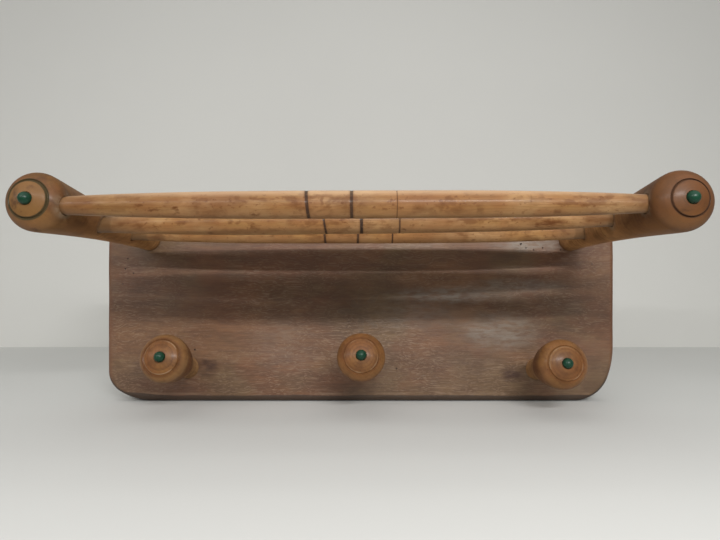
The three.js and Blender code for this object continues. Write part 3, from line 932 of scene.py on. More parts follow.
def board_cuts(context):
    """Everything that is cut out of the board."""
    scene = context.scene
    hangers = scene.coat_rack_hangers
    through, above = 0.04, 0.003
    cuts = []
    for places, settings in ((ARMS, scene.coat_rack_arms), (PEGS, scene.coat_rack_pegs)):
        for place in places.values():
            hole = rod(settings.tenon_radius + GLUE_GAP, -through, through / 2)
            cuts.append(solid(hole, "tenon_hole", place))
    for side in ("left", "right"):
        middle = centre(f"hanger_{side}")
        recess = round_ended(hangers.plate_length + 2 * GLUE_GAP, hangers.plate_height + 2 * GLUE_GAP)
        recess = shifted(recess, middle.x, middle.z)
        cuts.append(solid(prism(recess, -FLUSH_DEPTH - hangers.plate_thickness, through), "recess"))
        pocket = round_ended(hangers.pocket_height, hangers.pocket_width)
        pocket = shifted([(-z, x) for x, z in pocket], middle.x, middle.z)
        cuts.append(solid(prism(pocket, -hangers.pocket_depth, through), "pocket"))
    cuts += [solid(screw_clearance(hangers), "screw_hole", place) for place in screw_places().values()]
    for hole in WORM_HOLES:
        x, z, radius = (MM * part for part in hole)
        slant = Vector((noise(Vector((x * 90, z * 90, 0))), -1.5, 0.4))
        place = standing(Vector((x, BOARD_LOW.y, z)), slant, UP)
        cuts.append(solid(rod(radius, -WORM_HOLE_DEPTH, above, 12), "worm_hole", place))
    return cuts


def board_finish(settings):
    """Aged brown wood with wavy flecks, stains, a painted greyish sheen, painted shade beside the pegs,
    along the bottom edge and in the worm holes, and a faded star.
    """
    low, high = BOARD_LOW, BOARD_HIGH
    wood = Finish("Worn board wood", settings.wood, 0.5, along="X")
    x, y, z = split(wood.place)
    front = fall(y, low.y + 0.006, low.y + 0.012)
    rings, fibres, clouds, pores = wood.grain(0.0032, (0.075, 0.03, 0), 0.02, 3.0)
    wood.paint(wood.patches(12, 0.5, 0.1, 0.7, 1.0), settings.red_stain, 0.6)
    rubbed = wood.patches(17, 0.52, 0.1, 0.7, 2.0)
    wood.paint(rubbed, settings.grey_wear, 0.6)
    mottle = wood.patches(120, 0.5, 0.12, 0.4, 4.0, 0.004)
    wood.paint_all(settings.dark_grain_and_shade, (clouds, 0.3), (rings, 0.14), (fibres, 0.22), (mottle, 0.32))
    flecks = wood.patches(900, 0.57, 0.08, 0.1, 5.0, 0.02)
    flecks = times(flecks, wood.patches(16, 0.47, 0.14, 0.6, 6.0))
    wood.paint(flecks, settings.fleck, 0.42)
    uneven = wood.patches(60, 0.45, 0.16, 0.5, 9.0)
    # Painted sheen of the lamp, and painted shade beside and below the pegs, on the front face only
    for spots, tint in ((PAINTED_SHEEN_SPOTS, settings.sheen), (PAINTED_SHADE_SPOTS, settings.dark_grain_and_shade)):
        wood.stain(spots, tint, times(reckon("MULTIPLY_ADD", uneven, 0.6, 0.4), front))
    wood.paint(pores, settings.dark_grain_and_shade, 0.25)

    # Redder wood at the ends, a rubbed line along the bottom, and painted shade on the bottom edge
    # where it turns under
    aside = reckon("ABSOLUTE", x)
    wood.paint(rise(aside, high.x - 0.009, high.x), settings.red_stain, 0.6)
    line = wood.band(z, low.z + 0.0084, 0.001, 0.0012)
    wood.paint(times(line, wood.patches(30, 0.5, 0.1, 0.3, 7.0)), settings.fleck, 0.5)
    lift = reckon("MULTIPLY", fall(x, low.x + 0.02, low.x + 0.075), 0.0035)
    wave = reckon("MULTIPLY_ADD", noise_at(wood.run, 26, 1), 0.003, lift)
    edge = reckon("SUBTRACT", z, wave)
    lower = fall(edge, low.z + 0.0044, low.z + 0.0058)
    turned_under = times(rise(y, low.y + 0.00005, low.y + 0.0006), fall(z, low.z + 0.02, low.z + 0.03))
    # Painted shade along and under the bottom edge
    wood.paint(times(reckon("MAXIMUM", lower, turned_under), front), settings.under_edge_shade, 0.85)

    # Faded star above the middle peg
    above = reckon("SUBTRACT", z, STAR_HEIGHT)
    flat = follow("ShaderNodeCombineXYZ", {"X": x, "Y": above}).outputs[0]
    away = vectors("LENGTH", flat, result="Value")
    turned = reckon("ARCTAN2", x, above)
    rays = reckon("ABSOLUTE", reckon("COSINE", reckon("MULTIPLY", turned, STAR_PETALS)))
    reach = reckon("MULTIPLY_ADD", reckon("POWER", rays, 2.0), STAR_RAY, STAR_NOTCH)
    gap = reckon("SUBTRACT", away, reach)
    petals = fall(gap, -0.0008, 0.0008)
    outline = wood.band(gap, 0.0, 0.0006, 0.0005)
    faded = wood.patches(70, 0.5, 0.1, 1, 8.0)
    wood.paint(times(petals, faded), settings.star, 0.25)
    wood.paint(times(outline, faded), settings.fleck, 0.25)

    # Painted shade in and round each worm hole
    for hole in WORM_HOLES:
        hole_x, hole_z, radius = (MM * part for part in hole)
        spot = wood.spot((hole_x, low.y, hole_z), radius * 1.3, radius * 0.5)
        wood.paint(spot, settings.worm_hole, 0.85)

    wood.roughen((rubbed, -0.08), (clouds, 0.1))
    wood.relief((fibres, 80), (pores, -80), (flecks, 40), (noise_at(wood.place, 24, 2), 1200))
    return wood.done(specular_ior_level=0.65)


class COATRACK_OT_board(bpy.types.Operator):
    """Add the back board with all its holes"""

    bl_idname = "coat_rack.board"
    bl_label = "Board"

    def execute(self, context):
        settings = context.scene.coat_rack_board
        board = carve(board_blank(settings), "DIFFERENCE", board_cuts(context))
        dress(board, board_finish(settings), "board_wood", "board")
        return {"FINISHED"}


# Arms and pegs

def nose_outline(reach, head, long, ring, width, depth, ball, proud, gap):
    """The domed end of an arm or peg, with its ring groove and the recess for its ball."""
    def dome(radius):
        return reach + long * math.sqrt(1 - (radius / head) ** 2)

    lip = 0.00015
    outer, inner = ring + width / 2, ring - width / 2
    shoulder = math.acos((outer + lip) / head)
    steps = 16
    outline = [(head * math.cos(shoulder * i / steps), reach + long * math.sin(shoulder * i / steps))
               for i in range(1, steps + 1)]
    outline += [
        (outer, dome(outer) - lip),
        (ring + width / 4, dome(ring) - depth * 0.85),
        (ring, dome(ring) - depth),
        (ring - width / 4, dome(ring) - depth * 0.85),
        (inner, dome(inner) - lip),
    ]
    middle = reach + long + proud
    recess = ball + gap
    mouth = math.sqrt(recess**2 - proud**2)
    mouth_angle = math.acos((middle - dome(mouth)) / recess)
    mouth = recess * math.sin(mouth_angle)
    face_steps = 14
    for i in range(face_steps):
        radius = inner - lip + (mouth - inner + lip) * i / face_steps
        outline.append((radius, dome(radius)))
    recess_steps = 10
    for i in range(recess_steps + 1):
        angle = mouth_angle * (1 - i / recess_steps)
        outline.append((recess * math.sin(angle), middle - recess * math.cos(angle)))
    return outline


def wedge_form(half_width, play):
    """A wedge on a tenon's axis, thick end at the board's back, or with play the kerf for it."""
    settings = bpy.context.scene.coat_rack_hangers
    thickness = BOARD_HIGH.y - BOARD_LOW.y
    thick, thin = settings.wedge_thick / 2 + play, settings.wedge_thin / 2 + play
    tip = -thickness + settings.wedge_length + play
    start = -1.5 * thickness
    overrun = thick + (thick - thin) * (-thickness - start) / (tip + thickness)
    outline = [(-overrun, start), (overrun, start), (thin, tip), (-thin, tip)]
    return prism(outline, -half_width, half_width)


def cut_level(form, place, y):
    """Cuts away what would reach further back than a Y once the form stands in its place."""
    to_local = place.inverted()
    trim(form, to_local @ (BACK * y), to_local.to_3x3() @ BACK)


def turning_outline(settings, place, ball, neck, head, ring, width, proud, steps):
    """The outline of an arm or peg from foot to nose, and where along it the nose starts."""
    reach = (centre(ball) - place.translation).length - settings.nose_length - proud
    corners = [(settings.foot_radius, 0), neck, (head, reach - settings.head_run), (head, reach)]
    outline = [(0, -settings.foot_run), (settings.foot_radius, -settings.foot_run)]
    outline += [tuple(point) for point in bezier(corners, steps)]
    gap = bpy.context.scene.coat_rack_balls.seat_gap
    outline += nose_outline(reach, head, settings.nose_length, ring, width, settings.ring_depth,
                            ball_radius(ball), proud, gap)
    return reach, outline


def wedged_turning(name, place, outline, foot_radius, tenon_radius, shape, sockets=()):
    """A turning with its foot cut to the board, its tenon through the board and all its cuts."""
    shaft = lathe(outline, 96, shape)
    cut_level(shaft, place, BOARD_LOW.y - GLUE_GAP)
    tenon = rod(tenon_radius, BOARD_LOW.y - BOARD_HIGH.y - foot_radius, foot_radius)
    cut_level(tenon, place, BOARD_HIGH.y - FLUSH_DEPTH)
    turned = solid(shaft, name, place)
    carve(turned, "UNION", [solid(tenon, "tenon", place)])
    kerf = solid(wedge_form(2 * tenon_radius, GLUE_GAP), "kerf", place)
    return carve(turned, "DIFFERENCE", [kerf, *sockets])


def socket_cutters(context):
    """One long bar for each spindle, which leaves its blind sockets in the arms."""
    settings = context.scene.coat_rack_spindles
    radius = settings.end_radius + settings.socket_play
    for place, half in SPINDLES.values():
        yield solid(rod(radius, -half - GLUE_GAP, half + GLUE_GAP), "socket", place)


def turned_wood(name, place, settings, base, foot_run, seed, roughness):
    """Varnished turned wood with painted light towards its foot, and with blotches, fine fibres and
    arcs of the tool.
    """
    wood = Finish(name, base, roughness, place=place)
    shade = settings.shade
    # Painted light, paler towards the foot
    wood.paint(fall(split(wood.place)[2], *foot_run), settings.foot)
    rings, fibres, clouds, pores = wood.grain(0.0034, (0.03, 0.02, 0), 0.014, seed)
    marks = wood.use("marks", vector=wood.place, spacing=0.0018, seed=seed)
    arcs = rise(marks, 0.42, 0.68)
    wood.paint(clouds, shade, 0.35)
    wood.paint(wood.patches(40, 0.5, 0.1, 0.6, seed + 1, 0.01), settings.blush, 0.6)
    wood.paint(wood.patches(110, 0.55, 0.09, 0.5, seed + 2, 0.01), shade, 0.45)
    wood.paint(rings, shade, 0.12)
    broken = wood.patches(55, 0.42, 0.12, 1, seed + 3)
    specks = wood.patches(420, 0.66, 0.05, 0.6, seed + 6)
    wood.paint_all(shade, (times(arcs, broken), 0.5), (specks, 0.6), (fibres, 0.16), (pores, 0.3))
    wood.roughen((clouds, 0.1))
    wood.relief((fibres, 30), (marks, 50), (pores, -40))
    return wood


def groove_paint(wood, radius, nose, ring, width, tint, share):
    """Dirt in a ring groove, on the nose only."""
    mask = times(wood.band(radius, ring, width, 0.0006), nose)
    wood.paint(mask, tint, share)
    wood.roughen((mask, 0.3))


# How deep a spindle's end lies in an arm, and the radius and softness of the dirt and glue round it
SOCKET_DEPTH = 0.014
SOCKET_DIRT = (0.0105, 0.0028)
SOCKET_GLUE = (0.0098, 0.0026)
# How far the face round each arm's ball has run off centre
FACE_SHIFT = {"left": -0.0005, "right": 0.0002}
# Dark marks on the arms' noses: place right of and above the ball, width and height in mm, strength
NOSE_MARKS = {
    "left": [
        (-8.1, -1.7, 4.8, 18, 0.75), (-5, -3.7, 1.4, 1.4, 0.9), (-7, -6.5, 1.4, 1.4, 0.9),
        (-2.9, -9.2, 1.4, 1.4, 0.75), (1.9, -21, 4, 2.8, 0.9), (3.3, 8, 6, 3, 0.45),
        (8, 14.9, 10, 4.5, 0.52),
    ],
    "right": [
        (8.4, -11.6, 1.4, 1.4, 0.9), (-4, -9, 8, 1.6, 0.52), (-6, 12, 8, 4, 0.45),
    ],
}


def arm_finish(settings, side, place, reach, sockets):
    """Satin tan-brown wood with painted light along the shaft and on its underside, painted shade at
    the foot, a dirty ring, glue at the sockets and a worn nose.
    """
    left = side == "left"
    base = settings.left_wood if left else settings.right_wood
    foot_run = (reach - 0.13, reach + 0.002)
    seed = 11.0 if left else 17.0
    wood = turned_wood(f"Arm wood {side}", place, settings, base, foot_run, seed, 0.52)
    radius = radius_of(wood.place)
    y, z = split(wood.place)[1:]
    nose = rise(z, reach - 0.002, reach + 0.004)
    # Painted light on the underside, and along the shaft towards the foot
    wood.paint(fall(y, -0.02, -0.004), settings.shaft, 0.3)
    wood.paint(fall(z, reach - 0.14, reach), settings.shaft, 0.25)
    # Painted shade where the arm meets the board
    wood.paint(fall(z, 0.0, 0.008), settings.shade, 0.6)
    if left:
        disc = times(fall(radius, 0.012, 0.015), nose)
        wood.paint(disc, settings.left_disc, 0.5)
        groove_paint(wood, radius, nose, settings.left_ring, settings.left_ring_width,
                     settings.left_dirt, 0.9)
    else:
        wood.paint(nose, settings.right_nose, 0.4)
        groove_paint(wood, radius, nose, settings.right_ring, settings.right_ring_width,
                     settings.right_dirt, 0.8)
    wood.stain(NOSE_MARKS[side], settings.shade, nose, second=1)
    for mouth in sockets:
        wood.paint(wood.spot(tuple(mouth), *SOCKET_DIRT), settings.shade, 0.4)
        glue = times(wood.spot(tuple(mouth), *SOCKET_GLUE), wood.patches(120, 0.5, 0.14, 1, 14.0))
        wood.paint(glue, settings.glue, 0.55)
        wood.roughen((glue, 0.2))
    wood.roughen((fall(z, reach, reach + 0.006), 0.25))
    return wood.done(specular_ior_level=0.25, coat_weight=0.1, coat_roughness=0.24)


def socket_mouths(place, sign):
    """Where the spindles enter an arm, in the arm's own coordinates."""
    mouths = []
    for spindle, half in SPINDLES.values():
        end = spindle @ Vector((0, 0, sign * (half - SOCKET_DEPTH)))
        mouths.append(place.inverted() @ end)
    return mouths


class COATRACK_OT_arms(bpy.types.Operator):
    """Add the two turned arms"""

    bl_idname = "coat_rack.arms"
    bl_label = "Arms"

    def execute(self, context):
        settings = context.scene.coat_rack_arms
        proud = context.scene.coat_rack_balls.arm_proud
        neck = (settings.foot_radius + settings.neck_swell, settings.neck_run)
        forms = {
            "left": (settings.left_head, settings.left_ring, settings.left_ring_width),
            "right": (settings.right_head, settings.right_ring, settings.right_ring_width),
        }
        for side, (head, ring, width) in forms.items():
            place = ARMS[side]
            reach, outline = turning_outline(settings, place, f"ball_arm_{side}", neck, head, ring,
                                             width, proud, 44)

            def shape(point, reach=reach, inner=ring - width / 2, shift=FACE_SHIFT[side]):
                radius = math.hypot(point.x, point.y)
                if point.z > reach and radius <= inner:
                    share = min(max((radius / inner - 0.5) / 0.5, 0), 1)
                    point.x += shift * share
                return point

            sign = -1 if side == "left" else 1
            arm = wedged_turning(f"turned_arm_{side}", place, outline, settings.foot_radius,
                                 settings.tenon_radius, shape, socket_cutters(context))
            finish = arm_finish(settings, side, place, reach, socket_mouths(place, sign))
            dress(arm, finish, "arm_wood", f"arm_{side}")
        return {"FINISHED"}


def peg_finish(settings, side, place, reach, seed):
    """Varnished orange-brown wood with a rubbed rim, painted light on the foot and a painted glint
    beside the ring.
    """
    foot_run = (0.0, 0.05)
    wood = turned_wood(f"Peg wood {side}", place, settings, settings.wood, foot_run, seed, 0.5)
    radius = radius_of(wood.place)
    z = split(wood.place)[2]
    nose = rise(z, reach - 0.004, reach + 0.003)
    rim = rise(radius, settings.ring_radius + 0.0005, settings.ring_radius + 0.005)
    rubbed = 0.45 if side == "left" else 0.15
    wood.paint(times(rim, nose, wood.patches(50, 0.42, 0.14, 1, seed + 4)), settings.rim, rubbed)
    # Painted light on the foot, in the rim's colour
    wood.paint(fall(z, *foot_run), settings.rim, 0.4)
    wood.roughen((fall(z, reach, reach + 0.006), 0.25))
    groove_paint(wood, radius, nose, settings.ring_radius, settings.ring_width, settings.shade, 0.3)
    # Painted glint beside the ring groove
    painted_glint = wood.band(radius, settings.ring_radius - 0.001, 0.0004, 0.0006)
    broken = wood.patches(55, 0.52, 0.1, 1, seed + 5)
    wood.paint(times(painted_glint, broken, nose), settings.painted_glint, 0.5)
    return wood.done(specular_ior_level=0.25, coat_weight=0.1, coat_roughness=0.22)


class COATRACK_OT_pegs(bpy.types.Operator):
    """Add the three turned pegs"""

    bl_idname = "coat_rack.pegs"
    bl_label = "Pegs"

    def execute(self, context):
        settings = context.scene.coat_rack_pegs
        proud = context.scene.coat_rack_balls.peg_proud
        neck = (settings.waist_radius, settings.waist_run)
        forms = {"left": (settings.left_head, 21.0), "centre": (settings.centre_head, 27.0),
                 "right": (settings.right_head, 33.0)}
        for side, (head, seed) in forms.items():
            place = PEGS[side]
            reach, outline = turning_outline(settings, place, f"ball_peg_{side}", neck, head,
                                             settings.ring_radius, settings.ring_width, proud, 40)
            peg = wedged_turning(f"turned_peg_{side}", place, outline, settings.foot_radius,
                                 settings.tenon_radius, None)
            dress(peg, peg_finish(settings, side, place, reach, seed), "peg_wood", f"peg_{side}")
        return {"FINISHED"}


# Spindles

# Burned rings: place along X, width, lean, and how charred they are
BURNED_RINGS = {
    "front": [(-0.039, 0.0022, 0.09, 0.85), (-0.007, 0.0022, 0.0, 0.8), (0.0257, 0.0006, 0.0, 0.5)],
    "middle": [(-0.031, 0.0017, 0.15, 0.9), (0.0003, 0.0024, 0.0, 0.95), (0.0322, 0.0012, 0.0, 0.75)],
    "rear": [(-0.035, 0.0019, 0.05, 0.85), (-0.0026, 0.0019, -0.05, 0.85), (0.0303, 0.0012, 0.0, 0.85)],
}
# Dark marks on the spindles' fronts: place above and along the axis, height and length in mm, strength
SPINDLE_MARKS = {
    "front": [
        (0, -182.8, 11.4, 64.3, 0.45), (1.5, -192.8, 1.8, 7.1, 0.75), (-1.4, -194.2, 1.4, 5.7, 0.52),
        (4.3, -173.5, 1.1, 11.4, 0.6), (3.5, -157, 3.6, 4.3, 0.6), (-0.5, -154.9, 2.1, 5.7, 0.83),
        (-5.4, -162.1, 1.4, 2.1, 0.75), (-4.4, -143.5, 1.1, 14.3, 0.68), (-3, -129.9, 2.5, 4.3, 0.95),
        (-5.2, -127.8, 2.9, 2.9, 0.75), (-6, -113.5, 2.9, 3.6, 0.68), (-3.1, -106.3, 10, 21.4, 0.45),
        (3.6, -84.8, 3.6, 3.6, 0.45), (2.5, -65.5, 2.9, 5, 0.45), (-7.9, -72.7, 1.8, 5.7, 0.75),
        (1.6, -24.1, 5.7, 2.1, 0.6), (-3.6, 44.5, 5.7, 8.6, 0.38), (-2.3, 61, 7.1, 3.6, 0.45),
        (-4.4, 72.4, 5.7, 10, 0.52), (-3.8, 88.8, 7.1, 5.7, 0.52), (-1.1, 148.2, 2.1, 10, 0.6),
        (-1.2, 166, 2.9, 12.9, 0.6), (-6.1, 144.9, 2.9, 5, 0.6),
    ],
    "middle": [
        (-2, -196.6, 10, 30, 0.38), (-1.3, -182.4, 4.2, 8.3, 0.52), (0.8, -146.5, 4.2, 8.3, 0.6),
        (-8.7, -124.1, 1.7, 5, 0.75), (-1, -106.4, 2.5, 4.2, 0.75), (-0.2, -99.7, 1.7, 4.2, 0.6),
        (-4.1, -88.1, 1.7, 3.3, 0.9), (-5.8, -84, 2.5, 5, 0.52), (-2.8, -54.7, 2.5, 10, 0.45),
        (-7.3, 38.7, 1.7, 4.2, 0.9), (-4.2, 161.4, 7, 26, 0.95), (-4.9, 150.6, 4.2, 5, 0.95),
        (-4.8, 177.3, 3.3, 10, 0.6), (-0.9, 202.4, 5, 21.7, 0.52), (-4.3, 204.4, 1.7, 1.7, 0.95),
    ],
    "rear": [
        (-4.1, -195.9, 5.8, 15.4, 0.6), (-5.9, 164.3, 5.8, 19.2, 0.52), (-7.7, 110.5, 1.9, 3.8, 0.6),
    ],
}
# How uneven a spindle's radius is, as shares of it: slow waves, and the flats that a scraper leaves
WAVE_SHARE = 0.008
FLAT_SHARE = 0.006
FLATS = 7
# How far the glue and dirt at a socket reach along each spindle
GLUE_REACH = {"front": 0.0175, "middle": 0.0205, "rear": 0.022}


def local_rings(row):
    """The burned rings of a spindle, with their places along its own Z."""
    place = SPINDLES[row][0]
    to_local = place.inverted()
    return [((to_local @ Vector((x, place.translation.y, place.translation.z))).z, *rest)
            for x, *rest in BURNED_RINGS[row]]


def spindle_outline(half, settings, rings):
    """Fullest in the middle, straight at the ends, with close steps at the burned rings."""
    chamfer = 0.001
    free = half - settings.end_length
    heights = set(np.round(np.linspace(-half + chamfer, half - chamfer, 110), 4))
    for middle, *_ in rings:
        heights |= set(np.round(middle + np.linspace(-0.0036, 0.0036, 25), 4))
    swell = settings.middle_radius - settings.end_radius
    outline = [(0, -half), (settings.end_radius - chamfer, -half)]
    for z in sorted(heights):
        share = min(abs(z) / free, 1)
        outline.append((settings.end_radius + swell * (1 - share**settings.fullness), float(z)))
    return outline + [(settings.end_radius - chamfer, half), (0, half)]


def spindle_finish(settings, row, place, rings, half):
    """Honey-coloured varnished wood with reddish streaks, burned rings and dirty glue at the ends, a
    painted sheen along the top, painted light below and painted shade on the nearer rows.
    """
    # Painted shade: the nearer rows take darker copies of the wood
    seed, depth = {"front": (41.0, 0.7), "middle": (47.0, 0.78), "rear": (53.0, 0.96)}[row]
    wood = Finish(f"Spindle wood {row}", [depth * c for c in settings.wood], 0.5, place=place)
    years, fibres, clouds, pores = wood.grain(0.0036, (0.03, -0.02, 0), 0.012, seed)
    x, y, z = split(wood.place)
    wood.paint_all(settings.amber, (years, 0.2), (clouds, 0.35))
    wood.paint(wood.patches(15, 0.5, 0.14, 1, seed + 1), settings.haze, 0.55)
    wood.paint(wood.patches(38, 0.55, 0.12, 0.5, seed + 6, 0.01), settings.pale, 0.4)
    wood.paint(wood.patches(60, 0.52, 0.12, 0.6, seed + 4, 0.01), settings.amber, 0.6)
    wood.paint(fibres, settings.streak, 0.3)
    stained = wood.patches(170, 0.55, 0.08, 0.5, seed + 2, 0.012)
    broken = wood.patches(30, 0.48, 0.12, 0.5, seed + 5)
    specks = wood.patches(360, 0.63, 0.05, 0.7, seed + 3, 0.012)
    wood.paint_all(settings.streak, (times(stained, broken), 0.65), (specks, 0.7), (pores, 0.4))
    # Painted light on the underside
    below = fall(x, -settings.middle_radius, 0.001)
    wood.paint(below, settings.below, 0.3)
    # Painted sheen along the top
    wood.paint(rise(x, 0.004, 0.0095), settings.top, 0.55)
    away = reckon("ABSOLUTE", z)
    wood.paint(rise(away, half - 0.05, half - SOCKET_DEPTH), settings.end, 0.5)
    reach = reckon("SUBTRACT", away, rise(z, 0.0, 0.01, 0.0, 0.004))
    glue = rise(reach, half - GLUE_REACH[row] - 0.0015, half - GLUE_REACH[row] + 0.0015)
    wood.paint(glue, settings.glue, 0.75)
    wood.stain(SPINDLE_MARKS[row], settings.streak, rise(y, 0.0, 0.003))
    for middle, width, lean, char in rings:
        along = reckon("MULTIPLY_ADD", x, lean, z)
        band = wood.band(along, middle, width * 0.7, width * 0.35)
        uneven = rise(noise_at(wood.place, 420, 2, seed), 0.2, 0.55, 0.7, 1.0)
        scorch = wood.band(along, middle, width, width * 0.9)
        wood.paint(scorch, settings.streak, 0.35 * char)
        wood.paint(times(band, uneven), settings.burn, char)
        wood.roughen((band, 0.25))
    arcs = wood.use("marks", vector=wood.place, spacing=0.0016, seed=seed)
    wood.roughen((clouds, 0.12))
    wood.relief((fibres, 40), (arcs, 20), (pores, -40))
    return wood.done(specular_ior_level=0.2, coat_weight=0.08, coat_roughness=0.18)


class COATRACK_OT_spindles(bpy.types.Operator):
    """Add the three spindles of the shelf"""

    bl_idname = "coat_rack.spindles"
    bl_label = "Spindles"

    def execute(self, context):
        settings = context.scene.coat_rack_spindles
        for index, (row, (place, half)) in enumerate(SPINDLES.items()):
            rings = local_rings(row)

            def shape(point, rings=rings, index=index):
                radius = math.hypot(point.x, point.y)
                angle = math.atan2(point.y, point.x)
                swirl = Vector((math.cos(angle), math.sin(angle), point.z * 16 + 7 * index))
                flats = math.cos(FLATS * angle + 2 * index)
                uneven = 1 + WAVE_SHARE * noise(swirl) + FLAT_SHARE * flats
                burned = sum(math.exp(-(2 * (point.z + lean * point.x - middle) / width) ** 2)
                             for middle, width, lean, _ in rings)
                scale = uneven - settings.groove_depth * burned / max(radius, 0.001)
                return Vector((point.x * scale, point.y * scale, point.z))

            form = lathe(spindle_outline(half, settings, rings), 64, shape)
            spindle = solid(form, f"shelf_spindle_{row}", place)
            finish = spindle_finish(settings, row, place, rings, half)
            dress(spindle, finish, "slat_wood", f"slat_{row}")
        return {"FINISHED"}


# Glass balls

def glass_finish(settings):
    """Deep green glass with a little drift in its tone."""
    glass = Finish("Green glass", settings.glass, 0.34)
    glass.paint(glass.patches(300, 0.5, 0.2, 1, 3.0), settings.depth, 0.6)
    glass.roughen((glass.patches(900, 0.6, 0.1, 1, 4.0), 0.08))
    return glass.done(transmission_weight=0.2, ior=1.5, specular_ior_level=0.2)


class COATRACK_OT_balls(bpy.types.Operator):
    """Add the five glass balls"""

    bl_idname = "coat_rack.balls"
    bl_label = "Glass balls"

    def execute(self, context):
        finish = glass_finish(context.scene.coat_rack_balls)
        steps = 32
        for group, places in (("arm", ARMS), ("peg", PEGS)):
            for side, place in places.items():
                node = f"ball_{group}_{side}"
                radius = ball_radius(node)
                angles = [math.pi * (i / steps - 0.5) for i in range(steps + 1)]
                outline = [(radius * math.cos(a), radius * math.sin(a)) for a in angles]
                where = place.copy()
                where.translation = centre(node)
                ball = solid(lathe(outline, 64), f"glass_{node}", where)
                dress(ball, finish, "green_glass", node)
        return {"FINISHED"}


# Wedges, hangers and screws

WEDGE_EDGE = 0.00015
PLATE_EDGE = 0.0002


def bevelled(piece, width):
    """Softens the sharp edges of a piece."""
    step = piece.modifiers.new("Soft edges", "BEVEL")
    step.width = width
    step.segments = 2
    step.limit_method = "ANGLE"
    step.angle_limit = math.radians(40)


def wedge_finish(settings):
    """Bare pale hardwood, its end grain across the driven end."""
    wood = Finish("Wedge wood", settings.wedge, 0.6)
    rings, fibres, clouds, pores = wood.grain(0.0014, (0.03, 0.02, 0), 0.01, 61.0)
    wood.paint(rings, settings.wedge_ring, 0.5)
    wood.paint(clouds, settings.wedge_cloud, 0.4)
    wood.paint(pores, settings.wedge_pore, 0.5)
    wood.relief((fibres, 50))
    return wood.done()


class COATRACK_OT_wedges(bpy.types.Operator):
    """Add the wedges that spread the tenons"""

    bl_idname = "coat_rack.wedges"
    bl_label = "Wedges"

    def execute(self, context):
        scene = context.scene
        finish = wedge_finish(scene.coat_rack_hangers)
        side_margin = 0.0005
        groups = (("arm", ARMS, scene.coat_rack_arms), ("peg", PEGS, scene.coat_rack_pegs))
        for group, places, settings in groups:
            for side, place in places.items():
                form = wedge_form(settings.tenon_radius - side_margin, 0)
                cut_level(form, place, BOARD_HIGH.y - FLUSH_DEPTH)
                wedge = solid(form, f"tenon_wedge_{group}_{side}", place)
                dress(wedge, finish, "wedge_wood", f"wedge_{group}_{side}")
                bevelled(wedge, WEDGE_EDGE)
        return {"FINISHED"}


def steel_finish(name, settings, rust_level, seed):
    """Dull plated steel, brushed and rusty in places."""
    steel = Finish(name, settings.steel, 0.34)
    rust = steel.patches(160, rust_level, 0.08, 1, seed)
    brushed = steel.patches(1800, 0.5, 0.2, 1, seed + 1, across=0.04)
    steel.paint(brushed, tuple(0.7 * c for c in settings.steel), 0.35)
    steel.paint(rust, settings.rust, 0.75)
    steel.roughen((rust, 0.4), (brushed, 0.1))
    steel.relief((rust, 30), (brushed, 10))
    return steel.done(metallic=reckon("SUBTRACT", 1.0, rust))


def keyhole_outline(settings):
    """Round entry below, narrow slot above, joined by straight sides."""
    entry, slot = settings.entry_radius, settings.slot_radius
    low = (entry - slot - settings.rise) / 2
    top = low + settings.rise
    gap = math.asin(slot / entry)
    steps = 24
    arc = [math.pi / 2 - gap - (2 * math.pi - 2 * gap) * i / steps for i in range(steps + 1)]
    outline = [(entry * math.cos(a), low + entry * math.sin(a)) for a in arc]
    cap = [math.pi - math.pi * i / steps for i in range(steps + 1)]
    return outline + [(slot * math.cos(a), top + slot * math.sin(a)) for a in cap]


THREAD_PITCH = 0.0011
THREAD_TOP = -0.0022
THREAD_DEPTH = 0.16


def screw_shape(radius):
    """Cuts a thread into the shank of a lathe-made screw, its depth a share of the radius."""
    def shape(point):
        away = math.hypot(point.x, point.y)
        if point.z > THREAD_TOP or away > radius * 1.02 or away < radius * 0.5:
            return point
        share = math.atan2(point.y, point.x) / (2 * math.pi)
        tooth = abs(((point.z / THREAD_PITCH - share) % 1) * 2 - 1)
        scale = 1 - THREAD_DEPTH * (1 - tooth)
        return Vector((point.x * scale, point.y * scale, point.z))
    return shape


def hanger_screw(settings, node, place):
    """A slotted wood screw with a domed countersunk head."""
    radius, head, depth = settings.screw_core, settings.screw_head, settings.screw_head_depth
    tip, dome, slot_depth, slot_half = 0.003, 0.0001, 0.0007, 0.0004
    end = -settings.screw_length
    shank = [(radius, z) for z in np.linspace(end + tip, -depth - 2 * dome, 44)]
    top = [(radius, -depth), (head, -2 * dome), (head, -dome), (head * 0.7, 0), (0, 0)]
    screw = solid(lathe([(0, end), *shank, *top], 40, screw_shape(radius)), f"slotted_{node}", place)
    above = 0.001
    across = [(-2 * head, -slot_depth), (2 * head, -slot_depth), (2 * head, above), (-2 * head, above)]
    slot = prism(across, -slot_half, slot_half)
    return carve(screw, "DIFFERENCE", [solid(slot, "slot", place)])


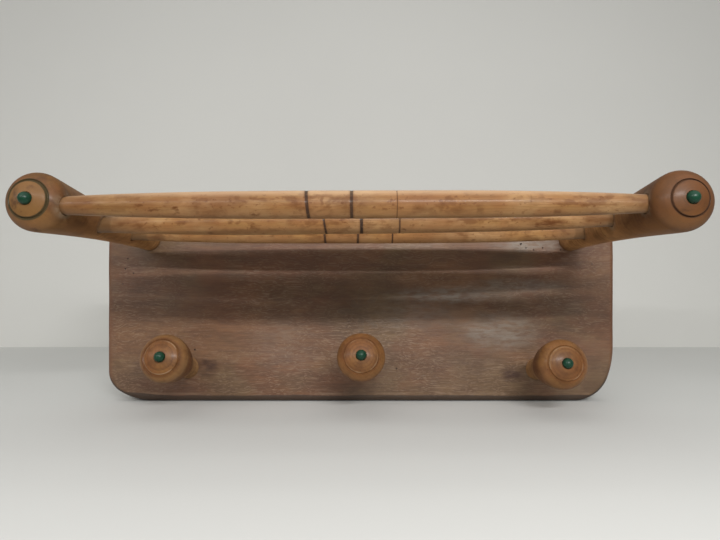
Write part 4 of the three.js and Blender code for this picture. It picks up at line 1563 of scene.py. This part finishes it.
class COATRACK_OT_hangers(bpy.types.Operator):
    """Add the keyhole hangers and their screws"""

    bl_idname = "coat_rack.hangers"
    bl_label = "Hangers"

    def execute(self, context):
        settings = context.scene.coat_rack_hangers
        plate_finish = steel_finish("Hanger steel", settings, 0.6, 71.0)
        screw_finish = steel_finish("Screw steel", settings, 0.57, 77.0)
        places = screw_places()
        back, front = -FLUSH_DEPTH, -FLUSH_DEPTH - settings.plate_thickness
        for side in ("left", "right"):
            middle = centre(f"hanger_{side}")
            outline = round_ended(settings.plate_length, settings.plate_height, 32)
            outline = shifted(outline, middle.x, middle.z)
            plate = solid(prism(outline, front, back), f"keyhole_plate_{side}")
            keyhole = shifted(keyhole_outline(settings), middle.x, middle.z)
            cuts = [solid(prism(keyhole, front - 0.001, back + 0.001), "keyhole")]
            cuts += [solid(screw_clearance(settings), "screw_hole", place)
                     for node, place in places.items() if side in node]
            carve(plate, "DIFFERENCE", cuts)
            dress(plate, plate_finish, "hanger_steel", f"hanger_{side}")
            bevelled(plate, PLATE_EDGE)
        for node, place in places.items():
            screw = hanger_screw(settings, node, place)
            dress(screw, screw_finish, "screw_steel", node)
        return {"FINISHED"}


# Add-on

SETTINGS = {
    "coat_rack_stage": StageSettings,
    "coat_rack_board": BoardSettings,
    "coat_rack_arms": ArmSettings,
    "coat_rack_spindles": SpindleSettings,
    "coat_rack_pegs": PegSettings,
    "coat_rack_balls": BallSettings,
    "coat_rack_hangers": HangerSettings,
}
STEPS = [
    (COATRACK_OT_stage, "coat_rack_stage"),
    (COATRACK_OT_board, "coat_rack_board"),
    (COATRACK_OT_arms, "coat_rack_arms"),
    (COATRACK_OT_spindles, "coat_rack_spindles"),
    (COATRACK_OT_pegs, "coat_rack_pegs"),
    (COATRACK_OT_balls, "coat_rack_balls"),
    (COATRACK_OT_wedges, "coat_rack_hangers"),
    (COATRACK_OT_hangers, "coat_rack_hangers"),
]


class COATRACK_PT_pieces(bpy.types.Panel):
    """Lists the rack's pieces with their settings"""

    bl_idname = "COATRACK_PT_pieces"
    bl_label = "Coat rack with shelf"
    bl_space_type = "VIEW_3D"
    bl_region_type = "UI"
    bl_category = "Coat Rack"

    def draw(self, context):
        for step, holder in STEPS:
            box = self.layout.box()
            box.operator(step.bl_idname)
            settings = getattr(context.scene, holder)
            for name in SETTINGS[holder].__annotations__:
                box.prop(settings, name)


def register():
    """Registers the settings, the operators and the panel."""
    for holder, kind in SETTINGS.items():
        bpy.utils.register_class(kind)
        setattr(bpy.types.Scene, holder, PointerProperty(type=kind))
    for step, _ in STEPS:
        bpy.utils.register_class(step)
    bpy.utils.register_class(COATRACK_PT_pieces)


def unregister():
    """Takes back what register added."""
    bpy.utils.unregister_class(COATRACK_PT_pieces)
    for step, _ in reversed(STEPS):
        bpy.utils.unregister_class(step)
    for holder, kind in reversed(SETTINGS.items()):
        delattr(bpy.types.Scene, holder)
        bpy.utils.unregister_class(kind)


def main():
    """Builds the whole rack."""
    register()
    bpy.ops.coat_rack.stage()
    bpy.ops.coat_rack.board()
    bpy.ops.coat_rack.arms()
    bpy.ops.coat_rack.spindles()
    bpy.ops.coat_rack.pegs()
    bpy.ops.coat_rack.balls()
    bpy.ops.coat_rack.wedges()
    bpy.ops.coat_rack.hangers()


if __name__ == "__main__":
    main()
